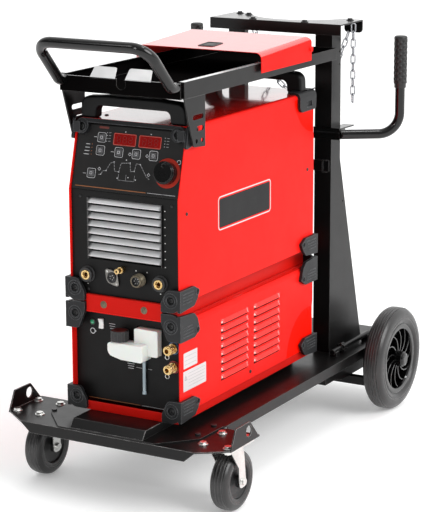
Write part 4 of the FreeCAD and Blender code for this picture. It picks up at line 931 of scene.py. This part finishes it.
def grille_shade_sheet():
    """Black sheet behind the grille, painted shade that darkens the gaps between the slats, and the small
    screw on the roof behind the left arch.
    """
    low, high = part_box("source_grille")
    sheet = bmesh.new()
    behind = facing(Vector((0, high.y + 0.0015, 0)), X_AXIS, Z_AXIS)
    edges = rounded((low.x / MM - 4, high.x / MM + 4), (low.z / MM - 4, high.z / MM + 4), 3)
    prism(sheet, behind, edges, -0.4, 0.4)
    piece("grille_shade_sheet", sheet, PANEL_BLACK)
    screw = bmesh.new()
    pan_screw(screw, level_face(741), (-86, 81.6), 4.2, 0, 2)
    piece("roof_screw", screw, BLACK_PLASTIC)


def front_fasteners():
    """Screws of the front sheets and of the red band between the units."""
    bm = bmesh.new()
    sheet = bmesh.new()
    for centre in ((-101, 593.5), (105.5, 593.3), (-85, 410)):
        pan_screw(sheet, LOWER_FRONT, centre, 2.9, 0, 1.6)
    piece("sheet_screws", sheet, BLACK_PLASTIC)
    around_sockets = ((24.3, 459), (49, 458.5), (63, 431.5), (-86.5, 421), (79, 420))
    studs(bm, LOWER_FRONT, around_sockets, 1.3, 0.7, 12, 0.3)
    studs(bm, LOWER_FRONT, [(90.2, 582.3 - 15.55 * row) for row in range(8)], 1.2, 0.8, 12, 0.3)
    piece("front_fasteners", bm, ZINC)
    bm = bmesh.new()
    for x in (-46, 46):
        pan_screw(bm, BAND_FRONT, (x, 385), 4.6, 1.4, 2)
        lathe(bm, BAND_FRONT, (x, 385), [(4.4, 0), (7.2, 0), (7.2, 0.7), (6.6, 1.1), (4.4, 1.1)], 28)
    piece("band_screws", bm, BRONZE)


# ---- bumpers and mouldings
BUMPER_LEVELS = ((389, 433), (386, 332), (169, 213))


def bumper_details():
    """Ring and bolt in each front boss, ribs and a bolt on each side arm."""
    rings, bolts = bmesh.new(), bmesh.new()
    for outer_z, inner_z in BUMPER_LEVELS:
        up = 1 if outer_z > inner_z else -1
        for place in (upright_face(-8), back_face(CASE_DEPTH + 8)):
            for side in (-1, 1):
                centre = (side * 109, outer_z - 24 * up)
                lathe(rings, place, centre, [(8.2, -2), (8.2, 0.6), (8.9, 1.2), (10.4, 1.2), (11.2, 0.5),
                                             (11.4, -0.2)], 40)
                lathe(rings, place, centre, [(13.6, -0.3), (13.8, 0.5), (14.6, 0.9), (15.4, 0.5),
                                             (15.6, -0.3)], 40)
                pan_screw(bolts, place, centre, 5.4, -5, 3)
        for place, sign in SIDES:
            for mirror in (False, True):
                def along(y):
                    return sign * (CASE_DEPTH - y if mirror else y)
                seat = (along(56), inner_z + 13 * up)
                pan_screw(bolts, place, seat, 4.2, 4.6, 2.2)
                lathe(rings, place, seat, [(5, 6.4), (5.2, 7.9), (6.2, 8.3), (7.2, 7.9), (7.4, 7.2)], 28)
                for k in range(4):
                    z = inner_z + (7 + 6.2 * k) * up
                    ends = sorted((along(1), along(43 - 2.2 * k)))
                    prism(rings, place, rounded(ends, sorted((z, z + 2.4 * up)), 1.1), 7, 8.1, 0.5)
    piece("bumper_rings", rings, GREY_PLASTIC)
    piece("bumper_bolts", bolts, BLACK_PLASTIC)


def moulding_bosses():
    """Stepped ring and bolt in each boss of the upper front moulding."""
    rings, bolts = bmesh.new(), bmesh.new()
    for side in (-1, 1):
        centre = (side * 108, 122)
        lathe(rings, PANEL, centre, [(8.1, 5), (8.1, 9.4), (9, 10.1), (10.6, 10.1), (11.6, 9.3),
                                     (11.8, 8.9)], 40)
        pan_screw(bolts, PANEL, centre, 5.6, 4, 3.2)
    piece("moulding_rings", rings, GREY_PLASTIC)
    piece("moulding_bolts", bolts, BLACK_PLASTIC)


# ---- case sides
def louvre(bm, place, start, foot):
    """Pressed hood: slopes out from its top edge to an open lower lip, and closes at both ends."""
    steps, rows = 26, 5
    height, rise, lip_up = 8, 4.4, 4.8
    grid = []
    for k in range(steps + 1):
        share = k / steps
        near_end = min(share, 1 - share) * LOUVRE_LENGTH / 7
        end_height = sqrt(max(0, 1 - (1 - min(1, near_end)) ** 2))
        across, lip = start + share * LOUVRE_LENGTH, foot + lip_up
        column = [(across, lip, max(0.02, rise * end_height - 0.7))]
        for row in range(rows + 1):
            fall = row / rows
            column.append((across, lip + height * fall, rise * end_height * (1 - fall) ** 0.9 + 0.05))
        grid.append([bm.verts.new(place @ Vector(point)) for point in column])
    for k, (first, second) in enumerate(zip(grid, grid[1:])):
        for row in range(rows + 1):
            face = bm.faces.new((first[row], second[row], second[row + 1], first[row + 1]))
            face.material_index = int(k < 2 or k > steps - 3)


def cooler_louvres():
    """Two columns of pressed louvres on each side of the cooler, pale domes at their front ends as painted
    highlights, and black sheets behind them as painted shade.
    """
    bm = bmesh.new()
    for z in LOUVRE_ROWS:
        for y in LOUVRE_STARTS:
            louvre(bm, RIGHT_SIDE, y, z)
            louvre(bm, LEFT_SIDE, -y - LOUVRE_LENGTH, z)
    piece("cooler_louvres", bm, [RED_HOOD_PAINTED_LIGHT, RED_GLOSS], smooth=60)
    # Pale domes at the front end of each louvre: a painted highlight.
    highlight_beads = bmesh.new()
    for z in LOUVRE_ROWS:
        for y in LOUVRE_STARTS:
            for place, side in SIDES:
                centre = (side * (y + 1.5), z + 7)
                lathe(highlight_beads, place, centre, [(2.6, 0), (2.5, 1.2), (1.7, 2.4), (0, 3)], 14)
    piece("louvre_end_highlight_beads", highlight_beads, LOUVRE_END_HIGHLIGHT, smooth=60)
    # Black sheets just inside the sides behind the slots: painted shade in the openings.
    shade_sheets = bmesh.new()
    for place, side in SIDES:
        outline = rounded(sorted((side * 150, side * 415)), (204, 338), 4)
        prism(shade_sheets, place, outline, -4, -3.2)
    piece("louvre_shade_sheets", shade_sheets, PANEL_BLACK)


def side_fasteners():
    """Screws of the cases' sides."""
    bm = bmesh.new()
    for y, z in ((30, 576), (529, 578), (280, 200), (529, 360)):
        pan_screw(bm, RIGHT_SIDE, (y, z), 3.6, 0, 1.8)
        pan_screw(bm, LEFT_SIDE, (-y, z), 3.6, 0, 1.8)
    piece("side_screws", bm, BLACK_PLASTIC)


def labels():
    """Paper labels with ruled lines and a plain triangle, and a framed plate on each side above them."""
    paper, ruled, dark = bmesh.new(), bmesh.new(), bmesh.new()
    prism(paper, RIGHT_SIDE, rounded((14.5, 66.5), (273.5, 305), 1.5), 0.02, 0.22, 0.05)
    prism(paper, RIGHT_SIDE, rounded((13, 100), (228, 268.5), 1.5), 0.02, 0.22, 0.05)
    for k in range(5):
        stroke(ruled, RIGHT_SIDE, [(32, 261.5 - 6.4 * k), (94, 261.5 - 6.4 * k)], 0.5, 0.22, 0.3)
    for k in range(3):
        stroke(ruled, RIGHT_SIDE, [(19, 297 - 8 * k), (61, 297 - 8 * k)], 0.5, 0.22, 0.3)
    triangle = [(17.5, 250), (27.5, 250), (22.5, 259.5)]
    border(ruled, RIGHT_SIDE, triangle, 1.2, 0.22, 0.32)
    for place, sign in SIDES:
        outline = rounded(sorted((sign * 150, sign * 366)), (519, 587), 9)
        border(paper, place, outline, 2.6, 0.02, 0.3)
        prism(dark, place, inset(outline, 5.4), 0.02, 0.25, 0.05)
    piece("side_labels", paper, LABEL)
    piece("label_rules", ruled, PRINT_DIM)
    piece("side_plates", dark, PLATE_DARK)


# ---- cooler front
def cooler_lamp():
    """Green lamp in its bezel, with a printed ring and arrow below."""
    mark = bmesh.new()
    ring = circle((-83.5, 323.5), 6, 28)
    border(mark, COOLER_FRONT, ring, 1.5, 0, 0.2)
    prism(mark, COOLER_FRONT, [(-79, 321), (-74.5, 323.5), (-79, 326)], 0, 0.25)
    turned("lamp_lens", LAMP_GREEN, COOLER_FRONT, LAMP_AT,
           [(4.6, 0), (4.6, 1.6), (3.8, 3), (2.2, 3.9), (0, 4.2)], 32)
    turned("lamp_bezel", BLACK_PLASTIC, COOLER_FRONT, LAMP_AT,
           [(4.6, 0), (6.4, 0), (6.4, 0.9), (5.8, 1.5), (4.6, 1.6)], 32)
    piece("lamp_mark", mark, PRINT_PALE)


def cooler_print():
    """Level marks beside the tube and the dividing lines at the foot of the panel."""
    pale, orange = bmesh.new(), bmesh.new()
    stroke(pale, COOLER_FRONT, [(16, 262.8), (30, 262.8)], 0.7, 0, 0.2)
    stroke(pale, COOLER_FRONT, [(43, 262.8), (52, 262.8)], 0.7, 0, 0.2)
    for k in range(3):
        stroke(pale, COOLER_FRONT, [(-4 + k, 268.5 - 4.6 * k), (12 - k, 268.5 - 4.6 * k)], 1, 0, 0.2)
        stroke(pale, COOLER_FRONT, [(-45 + k, 343 - 4.6 * k), (-31 - k, 343 - 4.6 * k)], 1, 0, 0.2)
    stroke(orange, COOLER_FRONT, [(-95, 186.5), (24, 186.5)], 1.3, 0, 0.2)
    stroke(pale, COOLER_FRONT, [(28, 186.5), (88, 186.5)], 0.7, 0, 0.2)
    piece("cooler_marks", pale, PRINT_PALE)
    piece("cooler_line", orange, PRINT_ORANGE)


def coupling_details():
    """Colour ring behind each coupling, grooves on its body and the wire loop of its dust cap."""
    grooves, loops = bmesh.new(), bmesh.new()
    for height, colour, word in zip(FITTING_HEIGHTS, (BLUE_RING, DARK_RED_RING), ("feed", "return")):
        centre = (FITTING_X, height)
        profile = [(10.4, 0), (12.4, 0.1), (12.7, 0.8), (12.2, 1.4), (11.2, 1.6), (10.4, 1.4)]
        turned("coupling_ring_" + word, colour, COOLER_FRONT, centre, profile, 44)
        for out in (14.6, 17, 22.6, 24.8):
            lathe(grooves, COOLER_FRONT, centre, [(7, out - 0.8), (9.2, out - 0.4), (9.4, out),
                                                  (9.2, out + 0.4), (7, out + 0.8)], 36)
        loop = [at(FITTING_X - 1 + a, -9, height - 12.6 + b) for a, b in circle((0, 0), 4.2, 28)]
        wire(loops, loop, 0.55 * MM, closed=True)
    piece("coupling_grooves", grooves, BRASS)
    piece("dust_cap_loops", loops, ZINC)


def cap_top():
    """Dark red disc in the tank cap."""
    low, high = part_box("reservoir_cap")
    place = facing(Vector(((low.x + high.x) / 2, (low.y + high.y) / 2, high.z)), X_AXIS, Y_AXIS)
    turned("cap_disc", CAP_RED, place, (0, 0), [(14.6, -0.1), (14.4, 0.5), (12, 0.7), (0, 0.7)], 40,
           "tank_cap")


# ---- backs
SWITCH_DIAL = (-70, 690)


def guard(bm, place, centre, radius):
    """Wire fan guard: rings on four spokes."""
    spokes = 4
    for share in (1, 0.8, 0.6, 0.4, 0.2):
        lift = 3 + 2 * (1 - share)
        points = [place @ Vector((a, b, lift)) for a, b in circle(centre, radius * share, 48)]
        wire(bm, points, 1.1 * MM, closed=True, sides=8)
    for k in range(spokes):
        turn = pi / 4 + tau * k / spokes
        points = []
        for step in range(7):
            reach = radius * (0.2 + 0.86 * step / 6)
            lift = 5 - 2 * reach / radius
            points.append(place @ Vector((*polar(centre, reach, turn), lift)))
        points.append(place @ Vector((*polar(centre, radius * 1.08, turn), 0.6)))
        wire(bm, points, 1.3 * MM, sides=8)


def back_details():
    """Fan guards, screws and the dial marks round the mains switch."""
    wires, screws, marks = bmesh.new(), bmesh.new(), bmesh.new()
    guard(wires, SOURCE_BACK, (0, 560), 57)
    guard(wires, COOLER_BACK, (0, 270), 75)
    for x in (-108, 108):
        for z in (440, 600, 725):
            pan_screw(screws, SOURCE_BACK, (x, z), 3.4, 0, 1.8)
        for z in (200, 270, 350):
            pan_screw(screws, COOLER_BACK, (x, z), 3.4, 0, 1.8)
    for turn in (pi / 2, 0):
        stroke(marks, SOURCE_BACK, [polar(SWITCH_DIAL, reach, turn) for reach in (19, 24)], 1.6, 0, 0.2)
    plate = rounded((-112, 112), (625, 655), 3)
    border(marks, SOURCE_BACK, plate, 1, 0, 0.2)
    piece("fan_guards", wires, BLACK_PLASTIC)
    piece("back_screws", screws, ZINC)
    piece("back_marks", marks, PRINT_PALE)


# ---- studio
CAMERA_AT = (1946.96, -3038.96, 1347.87)  # machine millimetres
VIEW_AZIMUTH, VIEW_ELEVATION, VIEW_ROLL = (radians(a) for a in (29.31814, 13.42453, -0.09606))
FLOOR_GAP = 0.0005
FLOOR_HALF = 60


def floor():
    """Plain pale floor that reaches past every view."""
    material, tree, shader = new_material("studio_floor")
    for key, value in (("Roughness", 0.9), ("Emission Color", (1, 1, 1, 1)), ("Emission Strength", 0.25),
                       ("Specular IOR Level", 0.1)):
        shader.inputs[key].default_value = value
    coordinates = node_of(tree, "ShaderNodeTexCoord").outputs["Object"]
    tree.links.new(mixed(tree, noise(tree, coordinates, 3), (0.90, 0.90, 0.90), (0.92, 0.92, 0.92)),
                   shader.inputs["Base Color"])
    bm = bmesh.new()
    bmesh.ops.create_grid(bm, x_segments=8, y_segments=8, size=FLOOR_HALF)
    mesh = bpy.data.meshes.new("floor")
    bm.to_mesh(mesh)
    bm.free()
    mesh.materials.append(material)
    ground = bpy.data.objects.new("floor", mesh)
    ground.location.z = cad_low.z - FLOOR_GAP
    link(ground)


def sky():
    """White surroundings behind and above the machine and along the horizon, dim in front of it."""
    world = bpy.data.worlds.new("studio")
    world.use_nodes = True
    tree = world.node_tree
    direction = node_of(tree, "ShaderNodeTexCoord").outputs["Generated"]
    parts = node_of(tree, "ShaderNodeSeparateXYZ")
    tree.links.new(direction, parts.inputs["Vector"])
    behind = ranged(tree, parts.outputs["Y"], -0.4, 0.75, 0.06, 1.15)
    beside = ranged(tree, parts.outputs["X"], -0.1, 1, 0, 0.30)
    above = ranged(tree, parts.outputs["Z"], 0.3, 1, 0, 0.5)
    horizon = ranged(tree, parts.outputs["Z"], 0.16, 0.11, 0, 1)
    total = behind
    for extra, operation in ((beside, "ADD"), (above, "ADD"), (horizon, "MAXIMUM")):
        added = node_of(tree, "ShaderNodeMath", operation=operation)
        tree.links.new(total, added.inputs[0])
        tree.links.new(extra, added.inputs[1])
        total = added.outputs["Value"]
    background = tree.nodes["Background"]
    background.inputs["Color"].default_value = (1, 1, 1, 1)
    tree.links.new(total, background.inputs["Strength"])
    bpy.context.scene.world = world


def lamp(name, kind, position, target, strength, size):
    """Soft light aimed at a point."""
    data = bpy.data.lights.new(name, kind)
    data.energy = strength
    if kind == "SUN":
        data.angle = size
    else:
        data.size = size
    made = bpy.data.objects.new(name, data)
    made.location = position
    made.rotation_euler = (Vector(target) - Vector(position)).to_track_quat("-Z", "Y").to_euler()
    link(made)


def lights():
    middle = (0, 0, 0.45)
    lamp("key", "SUN", (3.6, -0.3, 3), middle, 1.8, radians(35))
    lamp("front", "SUN", (-0.8, -4, 2.4), middle, 0.03, radians(30))
    lamp("strip", "AREA", (-1, -2.2, 2.6), middle, 8, 0.9)
    lamp("overhead", "AREA", (0.7, 0.2, 3), middle, 5, 0.3)
    lamp("spark", "AREA", (0.15, -2.3, 1.7), middle, 5, 0.16)


def camera():
    """The view of the machine from its right front, a little above it."""
    data = bpy.data.cameras.new("view")
    data.sensor_width = 36
    data.lens = 135.9
    data.shift_x = -0.0309
    data.shift_y = -0.0015
    data.clip_start = 0.1
    data.clip_end = 300
    made = bpy.data.objects.new("view", data)
    turn = (Matrix.Rotation(VIEW_AZIMUTH, 4, "Z") @ Matrix.Rotation(pi / 2 - VIEW_ELEVATION, 4, "X")
            @ Matrix.Rotation(VIEW_ROLL, 4, "Z"))
    made.matrix_world = Matrix.Translation(at(*CAMERA_AT)) @ turn
    link(made)
    bpy.context.scene.camera = made


# ---- build
dress_cad_nodes()
round_edges()
for side_name, side_sign in (("right", 1), ("left", -1)):
    rear_tyre("rear_tyre_" + side_name, side_sign)
    caster_wheel("caster_wheel_" + side_name, side_sign)
for make in (handle_grips, bolt_washers, lid_latch, display_windows, segment_digits, key_outlines,
            key_marks, panel_print, knob_ring, output_contacts, trigger_socket, remote_socket,
            grille_shade_sheet, front_fasteners, bumper_details, moulding_bosses, cooler_louvres,
            side_fasteners, labels, cooler_lamp, cooler_print, coupling_details, cap_top, back_details,
            floor, sky, lights, camera):
    make()
bpy.context.scene.view_settings.view_transform = "Standard"
